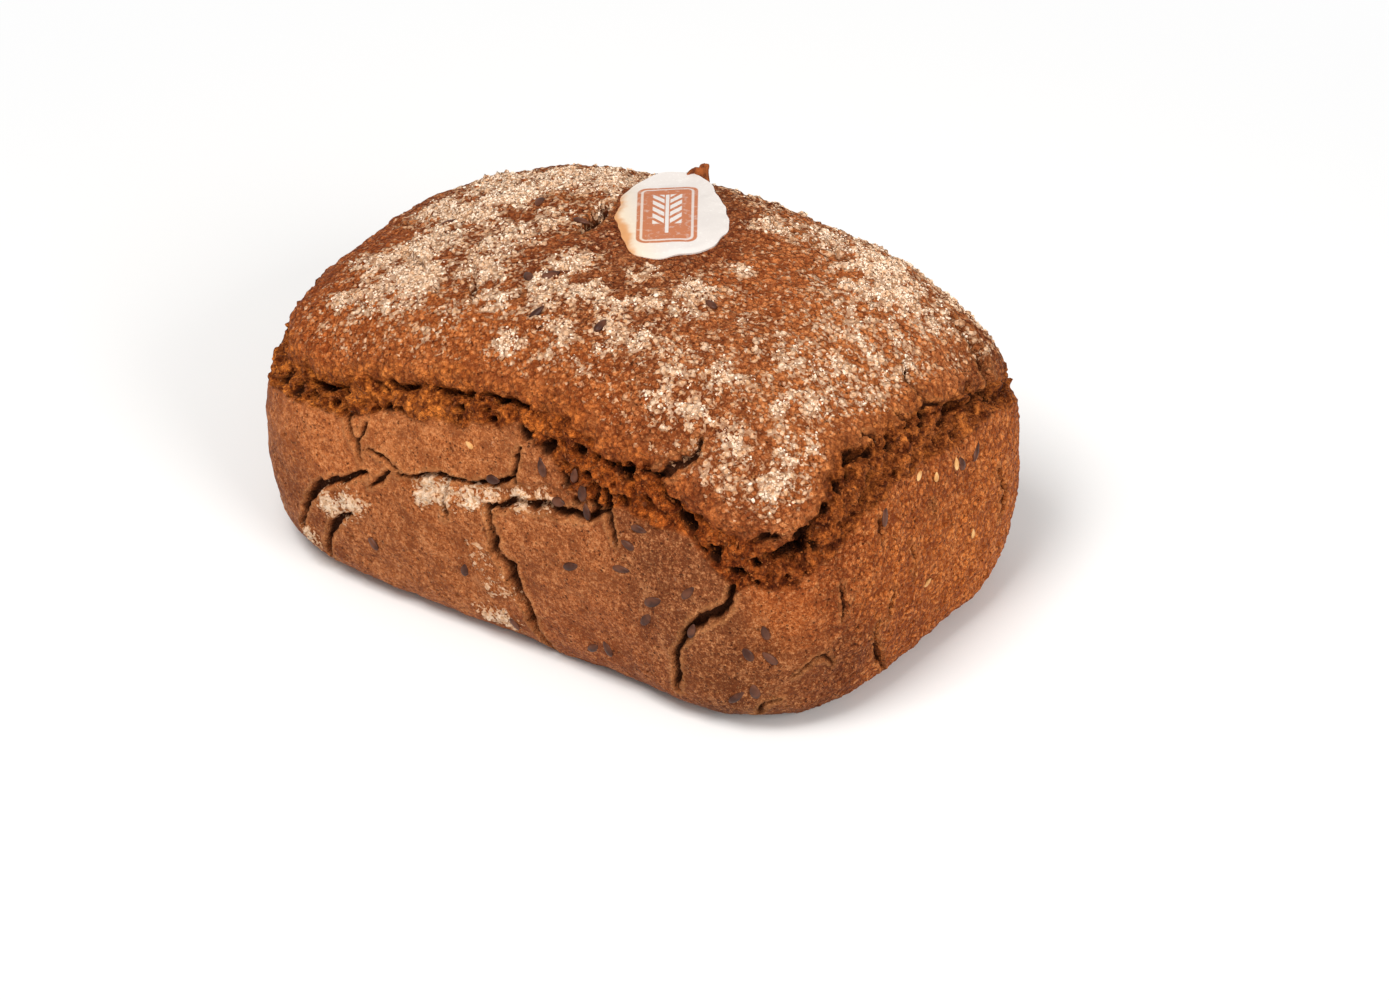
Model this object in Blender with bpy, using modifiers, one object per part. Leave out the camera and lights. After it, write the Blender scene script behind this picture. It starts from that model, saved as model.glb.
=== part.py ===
"""Rye bread loaf baked in a tin: upright walls, a risen dome above a torn shoulder, and a
baked-on wafer tag on the crown. Metres, +Z up, +X along the loaf, standing on z = 0."""

import math

import bmesh
import bpy
import numpy as np
from mathutils import Vector
from mathutils.bvhtree import BVHTree

# ---- driving sizes of the loaf ----
BASE_HALF_LENGTH = 0.0777
BASE_HALF_WIDTH = 0.0518
RIM_HALF_LENGTH = 0.0774
RIM_HALF_WIDTH = 0.0510
WALL_BOW = 0.0040  # how far the walls belly out half-way up
BASE_EDGE_RADIUS = 0.0088
RIM_HEIGHT = 0.0530
CROWN_HEIGHT = 0.0803
BASE_SQUARENESS = 4.2  # superellipse exponents of the plan outline
RIM_SQUARENESS = 4.1
CROWN_SQUARENESS = 2.4
DOME_FULLNESS_LONG = 1.95  # superellipse exponents of the dome's two profiles
DOME_FULLNESS_ACROSS = 3.4
DOME_FULLNESS_UP = 1.75
DOME_TILT = (0.084, -0.019)  # rise of the dome per metre along X and Y

# ---- the torn shoulder, where the dome broke away from the walls ----
TEAR_DEPTH = 0.0042
TEAR_HALF_WIDTH = 0.0042
# height of the tear at places round the plan, by the outline's own angle in degrees
TEAR_ANGLES = (-180, -136, -122, -104, -90, -80, -65, -45, -30, -12, 4, 24, 45, 90, 135, 180)
TEAR_HEIGHTS = (0.056, 0.047, 0.051, 0.060, 0.063, 0.056, 0.050, 0.048,
                0.054, 0.063, 0.058, 0.051, 0.050, 0.058, 0.051, 0.056)

# ---- local swells and hollows: centre and lift along the surface normal ----
SWELL_SPREAD = 0.014
SWELLS = (
    ((-0.076, -0.040, 0.039), 0.0024),
    ((-0.077, -0.009, 0.055), 0.0005),
    ((-0.069, 0.037, 0.056), -0.0013),
    ((-0.034, 0.046, 0.065), 0.0010),
    ((0.000, 0.045, 0.070), 0.0023),
    ((0.036, 0.046, 0.069), 0.0016),
    ((0.071, 0.044, 0.046), 0.0031),
    ((0.080, 0.021, 0.007), 0.0016),
    ((0.075, -0.036, 0.005), -0.0014),
    ((0.053, -0.048, 0.002), 0.0022),
    ((0.026, -0.053, 0.005), -0.0013),
    ((0.000, -0.054, 0.005), -0.0011),
    ((-0.059, -0.049, 0.005), 0.0018),
)
SWELL_HEART = Vector((0.0, 0.0, 0.035))
SWELL_RADII = Vector((0.080, 0.055, 0.045))

# ---- how finely the loaf is cut into facets ----
COLUMNS = 112
BASE_RINGS = 3
WALL_RINGS = 12
DOME_RINGS = 20

# ---- the wafer tag ----
TAG_CENTRE = (-0.0045, 0.0175)
TAG_CORNERS = (
    (-0.018, 0.018), (-0.017, 0.036), (-0.007, 0.037), (0.0055, 0.029),
    (0.010, 0.020), (0.0045, 0.001), (-0.0015, -0.001), (-0.006, 0.0015),
)
TAG_THICKNESS = 0.0011
TAG_GAP = 0.0004
TAG_CURL = 0.0012  # how far the rear edge lifts off the crust
TAG_SPOKES = 48
TAG_RINGS = 5


def signed_power(value, power):
    return math.copysign(abs(value) ** power, value)


def outline(angle, squareness):
    """Point of a superellipse of half sizes 1 and 1."""
    power = 2.0 / squareness
    return signed_power(math.cos(angle), power), signed_power(math.sin(angle), power)


def mix(start, end, share):
    return start + (end - start) * share


def wall_point(angle, rise):
    """Point on the wall; rise goes from 0 at the board to 1 at the rim."""
    height = rise * RIM_HEIGHT
    bow = WALL_BOW * 4.0 * rise * (1.0 - rise)
    round_off = 0.0
    if height < BASE_EDGE_RADIUS:
        drop = 1.0 - height / BASE_EDGE_RADIUS
        round_off = BASE_EDGE_RADIUS * (1.0 - math.sqrt(1.0 - drop * drop))
    half_length = mix(BASE_HALF_LENGTH, RIM_HALF_LENGTH, rise) + bow - round_off
    half_width = mix(BASE_HALF_WIDTH, RIM_HALF_WIDTH, rise) + bow - round_off
    x, y = outline(angle, mix(BASE_SQUARENESS, RIM_SQUARENESS, rise))
    return Vector((half_length * x, half_width * y, height))


def dome_point(angle, climb):
    """Point on the dome; climb goes from 0 at the rim to 1 at the crown."""
    turn = climb * math.pi / 2.0
    inward = max(math.cos(turn), 0.0)
    upward = math.sin(turn)
    x, y = outline(angle, mix(RIM_SQUARENESS, CROWN_SQUARENESS, upward ** 1.5))
    x *= RIM_HALF_LENGTH * inward ** (2.0 / DOME_FULLNESS_LONG)
    y *= RIM_HALF_WIDTH * inward ** (2.0 / DOME_FULLNESS_ACROSS)
    z = RIM_HEIGHT + (CROWN_HEIGHT - RIM_HEIGHT) * upward ** (2.0 / DOME_FULLNESS_UP)
    z += (DOME_TILT[0] * x + DOME_TILT[1] * y) * upward
    return Vector((x, y, z))


def outward(point):
    """Direction straight out of the loaf; it never points below the horizontal."""
    way = point - SWELL_HEART
    way = Vector([way[axis] / SWELL_RADII[axis] ** 2 for axis in range(3)])
    way.z = max(way.z, 0.0)
    return way.normalized()


def swell(point):
    lift = 0.0
    for centre, amount in SWELLS:
        apart = (point - Vector(centre)).length_squared
        lift += amount * math.exp(-apart / (2.0 * SWELL_SPREAD ** 2))
    return lift


def tear(angle, height):
    """Depth of the torn groove here: it wanders in depth as it goes round."""
    degrees = math.degrees(angle)
    line = np.interp(degrees, TEAR_ANGLES, TEAR_HEIGHTS)
    wander = 0.75 + 0.18 * math.sin(5.0 * angle + 0.6) + 0.12 * math.sin(13.0 * angle)
    # the lip of the dome overhangs, so the groove is steeper above than below
    reach = TEAR_HALF_WIDTH * (0.75 if height > line else 1.25)
    return TEAR_DEPTH * wander * math.exp(-(((height - line) / reach) ** 2))


def meridian_stations():
    """Stations from the middle of the base to the crown: the part and the share along it."""
    stations = [("base", ring / BASE_RINGS) for ring in range(BASE_RINGS)]
    stations += [("wall", (ring / WALL_RINGS) ** 1.3) for ring in range(WALL_RINGS)]
    stations += [("dome", (ring / DOME_RINGS) ** 1.15) for ring in range(DOME_RINGS + 1)]
    return stations


def loaf_point(angle, station):
    part, share = station
    if part == "base":
        return wall_point(angle, 0.0) * share
    point = wall_point(angle, share) if part == "wall" else dome_point(angle, share)
    if part == "wall" and share == 0.0:
        return point
    lift = swell(point) - tear(angle, point.z)
    return point + outward(point) * lift


def material(name, colour, roughness):
    made = bpy.data.materials.new(name)
    made.use_nodes = True
    shader = made.node_tree.nodes["Principled BSDF"]
    shader.inputs["Base Color"].default_value = (*colour, 1.0)
    shader.inputs["Roughness"].default_value = roughness
    return made


def add_object(name, mesh, collection, look):
    made = bpy.data.objects.new(name, mesh)
    made.data.materials.append(look)
    collection.objects.link(made)
    return made


def loaf_mesh():
    """A sphere's net of rings and columns, moved onto the loaf's form."""
    stations = meridian_stations()
    last = len(stations) - 1
    bm = bmesh.new()
    bmesh.ops.create_uvsphere(bm, u_segments=COLUMNS, v_segments=last, radius=1.0)
    for vertex in bm.verts:
        ring = round((1.0 - math.acos(max(-1.0, min(1.0, vertex.co.z))) / math.pi) * last)
        angle = math.atan2(vertex.co.y, vertex.co.x)
        vertex.co = loaf_point(angle, stations[ring])
    bmesh.ops.recalc_face_normals(bm, faces=bm.faces)
    mesh = bpy.data.meshes.new("loaf")
    bm.to_mesh(mesh)
    bm.free()
    mesh.shade_smooth()
    return mesh


def centre_over_origin(mesh):
    """Slides the mesh so that its box stands centred over the origin; returns the slide."""
    points = np.empty(len(mesh.vertices) * 3)
    mesh.vertices.foreach_get("co", points)
    points = points.reshape(-1, 3)
    slide = -(points.min(axis=0) + points.max(axis=0)) / 2.0
    slide[2] = -points[:, 2].min()
    mesh.vertices.foreach_set("co", (points + slide).reshape(-1))
    mesh.update()
    return Vector(slide)


def rounded(corners, times):
    """Corner cutting: each pass replaces a corner by two points a quarter along its sides."""
    points = [Vector(corner) for corner in corners]
    for _ in range(times):
        cut = []
        for here, after in zip(points, points[1:] + points[:1]):
            cut += [here.lerp(after, 0.25), here.lerp(after, 0.75)]
        points = cut
    return points


def reach_table(corners, centre):
    """Bearing and distance from the centre for each point of the rounded outline."""
    arms = [point - Vector(centre) for point in rounded(corners, 2)]
    return sorted((math.atan2(arm.y, arm.x), arm.length) for arm in arms)


def tag_mesh(loaf, slide):
    """The wafer's underside, laid over the crown; a Solidify gives it its thickness."""
    table = reach_table(TAG_CORNERS, TAG_CENTRE)
    bearings = [bearing for bearing, _ in table]
    reaches = [reach for _, reach in table]
    tree = BVHTree.FromPolygons(
        [vertex.co.copy() for vertex in loaf.vertices],
        [tuple(face.vertices) for face in loaf.polygons],
    )
    bm = bmesh.new()
    bmesh.ops.create_circle(bm, cap_ends=True, cap_tris=True, segments=TAG_SPOKES, radius=1.0)
    hub = min(bm.verts, key=lambda vertex: vertex.co.length)
    bmesh.ops.subdivide_edges(bm, edges=list(hub.link_edges), cuts=TAG_RINGS - 1)
    for vertex in bm.verts:
        bearing = math.atan2(vertex.co.y, vertex.co.x)
        share = vertex.co.length
        reach = np.interp(bearing, bearings, reaches, period=2.0 * math.pi)
        x = TAG_CENTRE[0] + slide.x + share * reach * math.cos(bearing)
        y = TAG_CENTRE[1] + slide.y + share * reach * math.sin(bearing)
        hit = tree.ray_cast(Vector((x, y, 0.2)), Vector((0.0, 0.0, -1.0)))[0]
        curl = TAG_CURL * share ** 3 * max(0.0, math.sin(bearing - 0.3))
        vertex.co = (x, y, hit.z + TAG_GAP + curl)
    bmesh.ops.recalc_face_normals(bm, faces=bm.faces)
    if sum(face.normal.z for face in bm.faces) < 0.0:
        bmesh.ops.reverse_faces(bm, faces=bm.faces)
    mesh = bpy.data.meshes.new("wafer_tag")
    bm.to_mesh(mesh)
    bm.free()
    mesh.shade_smooth()
    return mesh


def main():
    for thing in list(bpy.data.objects):
        bpy.data.objects.remove(thing, do_unlink=True)
    collection = bpy.data.collections.new("rye_bread_loaf")
    bpy.context.scene.collection.children.link(collection)

    crust = material("crust", (0.30, 0.13, 0.045), 0.85)
    wafer = material("wafer", (0.86, 0.80, 0.70), 0.80)

    loaf = loaf_mesh()
    slide = centre_over_origin(loaf)
    add_object("loaf", loaf, collection, crust)

    tag = add_object("wafer_tag", tag_mesh(loaf, slide), collection, wafer)
    thicken = tag.modifiers.new("thickness", "SOLIDIFY")
    thicken.thickness = TAG_THICKNESS
    thicken.offset = 1.0


main()
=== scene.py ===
import math

import bpy
import numpy as np
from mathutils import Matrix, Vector


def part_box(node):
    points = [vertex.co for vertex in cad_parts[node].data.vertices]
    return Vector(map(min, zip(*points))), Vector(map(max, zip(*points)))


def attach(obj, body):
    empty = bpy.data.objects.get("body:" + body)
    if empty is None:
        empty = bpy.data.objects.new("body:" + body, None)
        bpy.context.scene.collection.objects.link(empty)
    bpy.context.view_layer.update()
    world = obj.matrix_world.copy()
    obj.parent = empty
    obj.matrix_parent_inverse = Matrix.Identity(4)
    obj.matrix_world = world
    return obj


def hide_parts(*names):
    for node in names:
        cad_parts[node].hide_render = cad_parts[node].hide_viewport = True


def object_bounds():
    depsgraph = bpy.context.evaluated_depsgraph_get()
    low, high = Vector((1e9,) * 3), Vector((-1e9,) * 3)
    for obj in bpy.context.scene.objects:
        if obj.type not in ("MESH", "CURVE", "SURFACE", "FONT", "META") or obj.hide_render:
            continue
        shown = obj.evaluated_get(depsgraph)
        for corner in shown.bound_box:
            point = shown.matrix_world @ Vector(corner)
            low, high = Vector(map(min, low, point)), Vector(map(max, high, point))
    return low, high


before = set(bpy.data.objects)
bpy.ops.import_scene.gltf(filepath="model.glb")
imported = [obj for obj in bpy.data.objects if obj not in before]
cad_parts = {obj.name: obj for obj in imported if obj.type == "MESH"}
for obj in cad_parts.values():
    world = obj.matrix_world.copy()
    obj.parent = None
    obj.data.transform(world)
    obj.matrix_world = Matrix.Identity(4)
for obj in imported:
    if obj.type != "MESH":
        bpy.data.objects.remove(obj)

CAD_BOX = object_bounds()
MM = 0.001

# ------------------------------------------------------------------ sizes, in millimetres
BASE_HALF = (77.7, 51.8)
RIM_HALF = (77.4, 51.0)
WALL_BOW = 4.0
BASE_EDGE_RADIUS = 8.8
RIM_HEIGHT = 53.0
CROWN_HEIGHT = 80.3
BASE_SQUARENESS = 4.2
RIM_SQUARENESS = 4.1
CROWN_SQUARENESS = 2.4
DOME_FULLNESS = (1.95, 3.4, 1.75)
DOME_TILT = (0.084, -0.019)

SWELL_SPREAD = 14.0
SWELL_HEART = np.array([0.0, 0.0, 35.0])
SWELL_RADII = np.array([80.0, 55.0, 45.0])
SWELLS = (
    (-76, -40, 39, 2.4), (-77, -9, 55, 0.5), (-69, 37, 56, -1.3), (-34, 46, 65, 1.0),
    (0, 45, 70, 2.3), (36, 46, 69, 1.6), (71, 44, 46, 3.1), (80, 21, 7, 1.6),
    (75, -36, 5, -1.4), (53, -48, 2, 2.2), (26, -53, 5, -1.3), (0, -54, 5, -1.1),
    (-59, -49, 5, 1.8),
)

# Round the loaf, "along" is the distance round its walls from the middle of the long front,
# positive towards +X, and "climb" is the distance up the surface from the flat bottom.
ROUND = 488.0

# the tear between walls and dome: along, wall edge, tear, dome lip, open gap
SHOULDER = np.array([
    (-244, 57, 64, 67, 0.3), (-225, 58, 63, 66, 2.2), (-205, 54, 61, 64, 0.4),
    (-188, 50, 55, 58, 1.8), (-172, 46, 51, 55, 0.3), (-150, 50, 55, 59, 1.9),
    (-130, 54, 60, 62, 0.3), (-112, 54, 61, 64, 2.4), (-95, 54, 61, 65, 0.4),
    (-82, 52, 59, 63, 1.6), (-74, 52.5, 57.6, 62, 0.3), (-68, 54, 59.2, 64, 0.43),
    (-64, 55, 61.2, 65, 1.2), (-60, 55, 61.8, 65.5, 1.64), (-55, 56, 63, 66, 1.31),
    (-50, 57.5, 65, 69, 0.32), (-44, 58.5, 66.6, 70, 0.87), (-38, 60, 68, 71, 1.2),
    (-31, 61.5, 69.7, 72, 1.53), (-20, 64, 70.4, 72.6, 1.42), (-10, 65.2, 71.4, 73.4, 1.64),
    (-1, 66, 72, 73.8, 1.31), (7, 65, 71.9, 73.8, 0.82), (11, 62, 71.6, 73.4, 0.4),
    (15, 57.5, 69.6, 73, 0.3), (21, 55.6, 68.5, 71.5, 0.4), (27, 56.5, 67.5, 70.5, 0.6),
    (31, 58.4, 67.2, 71, 1.6), (36, 59.2, 66.5, 72, 0.5), (40, 59.8, 67, 72, 0.4),
    (44, 60, 67.6, 71.5, 1.6), (49, 59.6, 64, 69.5, 1.2), (53, 56, 61, 67.8, 0.5),
    (57, 53, 59.4, 66, 1.2), (61, 50.5, 58.8, 64.6, 0.6), (66, 50, 59, 63.4, 0.5),
    (70, 50.5, 58.8, 62.6, 2.6), (75, 51.2, 58.8, 62.6, 3.8), (80, 52.4, 59.2, 63.5, 1.4),
    (84, 54, 63.4, 67.5, 0.5), (88, 55.6, 68, 71.5, 0.4), (92, 57.4, 71.6, 74.6, 0.8),
    (96, 59, 73, 75.6, 2.6), (101, 60.2, 72.2, 75, 1.4), (105, 60.4, 71.6, 74.4, 0.4),
    (112, 60.6, 70.2, 73.6, 1), (118, 60.8, 69.2, 73, 0.4), (126, 60, 69.4, 72.6, 1),
    (131, 59, 68.8, 72, 0.4), (138, 58.2, 67.6, 70.4, 1.8), (145, 57.4, 65.6, 68.6, 0.5),
    (153, 56.4, 62.4, 65.2, 1.4), (158, 55.6, 60.4, 64, 0.5), (171, 52, 57, 61, 1.5),
    (190, 53, 58, 61, 0.3), (212, 57, 63, 66, 2.2), (230, 57, 64, 67, 0.4),
])

# dry cracks in the walls: half width, depth (negative: a shallow floury ledge, not a dark
# crack), then the way it runs as (along, climb)
WALL_CRACKS = (
    (0.75, 2.4, (-49, 58), (-46, 52.7), (-43.5, 50), (-42, 47.0)),
    (0.45, 1.4, (-43.5, 57.5), (-44, 51.1)),
    (0.55, 1.8, (-39.5, 50.6), (-35, 48.7), (-31, 47.4)),
    (0.7, 2.6, (-31, 46.0), (-24, 48.0), (-18, 49.3), (-11, 49.8), (-5, 51.4), (1, 54.4)),
    (2.6, -1.1, (-29, 45.0), (-18, 46.4), (-8, 46.8), (0, 49.6), (10, 53.6), (20, 55.6)),
    (0.95, 2.4, (-40, 44.0), (-45, 41), (-52, 37.6), (-57, 31.1), (-61, 21.5)),
    (0.55, 1.6, (-33.6, 46.2), (-38.4, 41.0)),
    (0.75, 2.2, (-44, 32.0), (-48, 29), (-51, 24.2), (-55, 12.4)),
    (1.35, 3.8, (-6, 45.0), (-3, 37), (-3, 33.2), (1, 31.0), (3, 24.3), (6, 17.8), (10, 6)),
    (1.05, 3.2, (-6, 44.6), (2, 48.4), (8, 49.4), (13, 51.0), (20, 52.3), (27, 56.2)),
    (0.8, 2.2, (27, 58.0), (28.4, 53), (30, 49.6)),
    (0.55, 2.0, (-17.6, 48.5), (-18, 46), (-17, 38.8)),
    (0.6, 2.0, (1, 62.5), (0.4, 57), (1, 53.0)),
    (1.0, 2.8, (60, 50.5), (59, 47.5), (55, 43.0), (50, 38.6), (48, 34.2)),
    (0.6, 2.0, (48, 34.4), (46, 28.4), (46.4, 18.0)),
    (0.4, 1.0, (74, 26.6), (78, 29.9), (81, 29), (83, 26.5)),
    (0.75, 2.2, (95.5, 29.5), (96, 25), (97.4, 20.8), (99, 17), (103, 10)),
    (0.45, 1.5, (102, 37.1), (99.6, 29)),
    (0.4, 1.3, (99, 56.5), (99.4, 50)),
    (0.4, 1.2, (110, 44), (111, 39), (109.6, 35)),
    (0.45, 1.3, (86, 46), (86.6, 41), (85.4, 38)),
    (0.4, 1.1, (120, 50), (121, 46)),
    (0.5, 1.5, (66, 14), (68, 19), (71, 20)),
    # the sides that face away crack the same way
    (1.0, 3.0, (-96, 58), (-94, 47), (-98, 36), (-95, 24), (-97, 12)),
    (0.8, 2.2, (-96, 44), (-107, 42), (-118, 45), (-131, 43), (-139, 47)),
    (0.7, 2.0, (-118, 45), (-120, 34), (-116, 22)),
    (0.6, 1.8, (-150, 52), (-148, 42), (-152, 33)),
    (0.9, 2.6, (-190, 58), (-187, 48), (-191, 37), (-186, 28), (-188, 16), (-184, 7)),
    (0.8, 2.4, (-189, 44), (-201, 47), (-214, 45), (-226, 49), (-236, 47)),
    (0.7, 2.0, (-214, 45), (-212, 34), (-216, 22), (-213, 10)),
    (1.1, 3.2, (237, 60), (240, 49), (236, 38), (239, 27), (234, 14)),
    (0.8, 2.2, (238, 43), (226, 46), (214, 42), (203, 46), (195, 43)),
    (0.6, 1.8, (212, 42), (215, 32), (211, 24)),
    (0.7, 2.0, (184, 50), (181, 38), (185, 26)),
    (0.5, 1.5, (146, 46), (149, 38), (146, 31)),
)
DOME_CRACKS = (
    (0.8, 2.2, (37, 70.5), (41, 71.6), (45.8, 74.9), (49.5, 78.4), (52.6, 80.7), (56, 85)),
    (0.6, 1.8, (134, 83), (132, 81), (128.8, 78), (128.5, 73), (131, 70.7), (135, 68)),
    (2.2, 5.2, (165.5, 81.5), (163.4, 79.5), (157.5, 74.4), (153.8, 68.6), (152, 62.5)),
    (0.6, 1.6, (104, 76), (107, 72), (106, 69)),
    (0.5, 1.4, (118, 75), (120, 71), (119, 67)),
    (0.7, 1.8, (-190, 84), (-194, 78), (-190, 72)),
    (0.7, 2.0, (214, 82), (210, 76), (213, 71)),
    (0.6, 1.6, (-128, 82), (-124, 76), (-126, 71)),
)
# short wrinkles and splits of the crown, in plan: half width, depth, then (x, y)
CROWN_CRACKS = (
    (1.7, 3.6, (-20.5, 16), (-18.6, 9), (-18, 3)),
    (0.8, 1.5, (-57, -14.5), (-52.7, -15.7), (-46.6, -20.3), (-43, -23)),
    (0.9, 1.5, (-51, -7), (-50, -0.8), (-50, 5)),
    (0.6, 1.1, (-33.5, -18), (-29, -24), (-25.6, -31)),
    (0.5, 1.1, (-39.7, -24.7), (-36.6, -29.2)),
    (0.6, 1.2, (-44, 14), (-36, 17), (-28, 17)),
    (0.5, 1.0, (-37, -5), (-30, -2)),
    (0.6, 1.2, (18, 28), (29, 29), (38, 28)),
    (0.5, 1.0, (-20, -30), (-14, -24)),
)

# flour: x, y, radius, strength over the crown
FLOUR = (
    (-52, -10, 8, 1), (-47, -27, 9, 1), (-51, 5, 8, 1), (-45, 16, 9, 1),
    (-31, -19, 7, 0.86), (-30, -36, 5, 0.43), (-40, 26, 9, 1), (-31, 30, 9, 0.97),
    (-58, -31, 6, 0.65), (-60, -18, 6, 0.86), (-33, -5, 7, 0.86), (-29, 5, 6, 0.65),
    (-19, -28, 6, 0.65), (-11, -22, 6, 0.86), (-12, -11, 5, 1), (-1, -19, 4, 1),
    (-10, -38, 3.5, 0.97), (-1, -32, 5, 0.59), (9, -25, 7, 0.6), (18, -29, 5, 0.53),
    (11, -34, 4, 0.5), (11, -16, 5, 0.6), (20, -6, 5, 0.79), (22, -13, 4, 0.75),
    (6, -6, 3.5, 0.5), (22, 6, 3, 0.53), (28, -26, 6, 0.46), (40, -28, 3, 0.53),
    (38, -37, 2.6, 0.53), (35, -41, 2.6, 0.31), (27, -36, 4, 0.34), (51, -37, 2.2, 0.53),
    (53, -24, 2.6, 0.53), (60, -34, 2.4, 0.44), (62, -39, 2.2, 0.38), (64, -28, 2, 0.25),
    (66, -6, 3, 0.53), (52, 27, 6, 0.85), (43, 33, 6, 0.85), (18, 30, 5, 0.67),
    (28, 34, 6, 0.76), (60, 26, 4, 0.57), (-18, 38, 8, 0.97), (-55, 24, 8, 0.97),
    (-62, 8, 6, 0.97), (-4, 40, 5, 0.54), (10, 42, 6, 0.65), (-20, 18, 5, 0.54),
    (46, 20, 7, 0.31), (56, 5, 8, 0.26), (52, -12, 8, 0.26), (40, -14, 6, 0.26),
)
# flour left on the walls: along, climb, radius, strength
WALL_FLOUR = (
    (-23, 44.2, 3.2, 1.0), (-18, 45, 2.6, 1.0), (-12, 46.0, 3.2, 1.0), (-6, 47.2, 2.4, 0.9),
    (2, 49.6, 2.6, 0.8), (8, 51.4, 2.6, 0.6), (-46, 34.0, 3.4, 0.9), (-51, 32, 3.0, 0.8),
    (-41, 35.5, 2.6, 0.6), (-5, 14.0, 3.4, 0.9), (-1, 11, 3.0, 0.7), (-60, 12, 4.0, 0.5),
    (-72, 18, 4.0, 0.5), (-58, 20, 2.5, 0.6), (-4, 24, 4.0, 0.45), (-8, 30, 3.5, 0.4),
    (66, 9, 3, 0.3), (-150, 20, 6, 0.6), (-205, 40, 5, 0.8), (-228, 18, 6, 0.6),
    (205, 44, 4, 0.8), (182, 16, 5, 0.5), (-110, 38, 4, 0.7),
)
# open holes in the torn crumb: along, climb, half width, half height, depth
HOLES = (
    (-59, 61.5, 3.6, 1.5, 4.5), (-52, 63.5, 1.6, 1.2, 3.5), (-66, 57.5, 1.4, 2.6, 4),
    (-39, 61.5, 2.2, 1.4, 3.5), (-35, 62.5, 1.4, 1, 3), (-72, 56.5, 1.5, 2.6, 3.5),
    (-18, 66.5, 1.6, 1, 3), (2, 66, 2.2, 1.6, 4), (8, 64, 1.6, 2.2, 4),
    (18, 67.2, 2.4, 1.6, 4.5), (23.6, 57.5, 1.3, 3.6, 5.5), (27, 59.5, 1.2, 2.8, 5),
    (17.5, 54.5, 1.4, 1.2, 3), (14, 58.2, 1, 2.2, 3), (21, 62.5, 1.4, 1.2, 3.5),
    (31.4, 67, 2.6, 2.2, 5.5), (30.5, 60.8, 1.2, 1.2, 2.5), (38, 63.6, 1.4, 1, 3),
    (44.6, 66.8, 3, 1.5, 5), (49, 63, 2.2, 1.9, 5), (55.4, 58.2, 1.7, 2.1, 5),
    (61.6, 55.2, 2.8, 1.1, 4.5), (66, 57.4, 1.5, 1.1, 3), (68.6, 63.4, 3.4, 1.2, 3),
    (75, 58.8, 4.6, 1.3, 6.5), (77.6, 62.2, 3, 1.6, 4.5), (84.6, 65.6, 1.8, 1.7, 4),
    (81, 57, 1.2, 1.4, 2.5), (90, 68.4, 1.3, 2.2, 3.5), (97, 73.2, 3.2, 1.8, 5.5),
    (104, 71, 2, 1.4, 4), (100, 67, 1.6, 1.3, 3), (111, 69, 2.4, 1.2, 4),
    (118, 66.6, 1.5, 1.6, 3.5), (124, 68.4, 2.6, 1.1, 4), (131, 66, 1.5, 1.2, 3),
    (137, 67.4, 2.8, 1.3, 4.5), (146, 64.8, 2.2, 1.2, 3.5), (153, 61.5, 1.6, 2, 4),
    (-225, 63, 3.4, 1.6, 4.5), (-205, 58, 2, 1.4, 3.5), (-188, 55, 3.2, 1.6, 4.5),
    (-165, 52, 2.2, 1.4, 3.5), (-145, 56, 3, 1.4, 4.5), (-128, 58, 2, 1.6, 4),
    (-112, 61, 4.2, 1.6, 5.5), (-95, 59, 2, 1.6, 4), (-84, 58.5, 2.4, 1.8, 4.5),
    (171, 57, 2.6, 1.6, 4.5), (184, 61, 2.4, 1.4, 4), (199, 61, 2.2, 1.8, 4),
    (212, 63, 3.6, 1.6, 5), (229, 63, 2.2, 1.4, 3.5), (240, 62, 2.4, 1.6, 4),
)
# how far above the lip the crown's skin is scuffed and mealy: along, height
SCUFFED = np.array([
    (-244, 3), (-190, 2.5), (-150, 3), (-110, 2.5), (-82, 2.5), (-72, 5), (-44, 6),
    (-10, 5), (10, 7), (30, 8), (50, 11), (60, 8), (67, 2.5),
    (80, 2), (90, 4), (100, 4.5), (150, 3.5), (180, 3), (220, 5),
])
PIN_HOLES = ((27, 3, 0.75), (51, -19, 0.6), (-25, -14, 0.4), (-5, -33, 0.4))

# whole seeds that show: along, climb, turn in degrees
LINSEEDS = (
    (18, 38.8, 30), (31, 43.8, 15), (40, 40.3, 40), (38, 34.4, 70), (49, 46.9, 60),
    (50, 37.7, 85), (23, 16.5, 50), (27, 18.7, 125), (63, 34.6, 120), (68, 33.2, 130),
    (33, 50.9, 170), (36, 56.1, 10), (65, 23.6, 95), (61, 21.6, 40), (-5, 52.4, 5),
    (8, 59.6, 115), (17, 60.5, 95), (20, 57.7, 100), (21.5, 53.8, 110), (13, 52.6, 10),
    (-38, 25.5, 140), (-12, 25.4, 80), (0, 13.5, 140), (133, 53.9, 100), (139, 54.2, 45),
    (101, 56.2, 60), (67, 40, 95),
)
SESAME = ((131, 54.8, 80), (117, 58.5, 35), (123, 55.1, 80), (134, 34.4, 90), (116, 30.2, 20),
          (-13, 59.0, 150))
CROWN_LINSEEDS = ((-8, -30, 50), (-54, 0, 160), (-37, 13, 20), (-21, 7, 80), (25, -9, 60),
                  (-13, -17, 30), (8, -28, 100), (-18, -19, 120))

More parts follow.
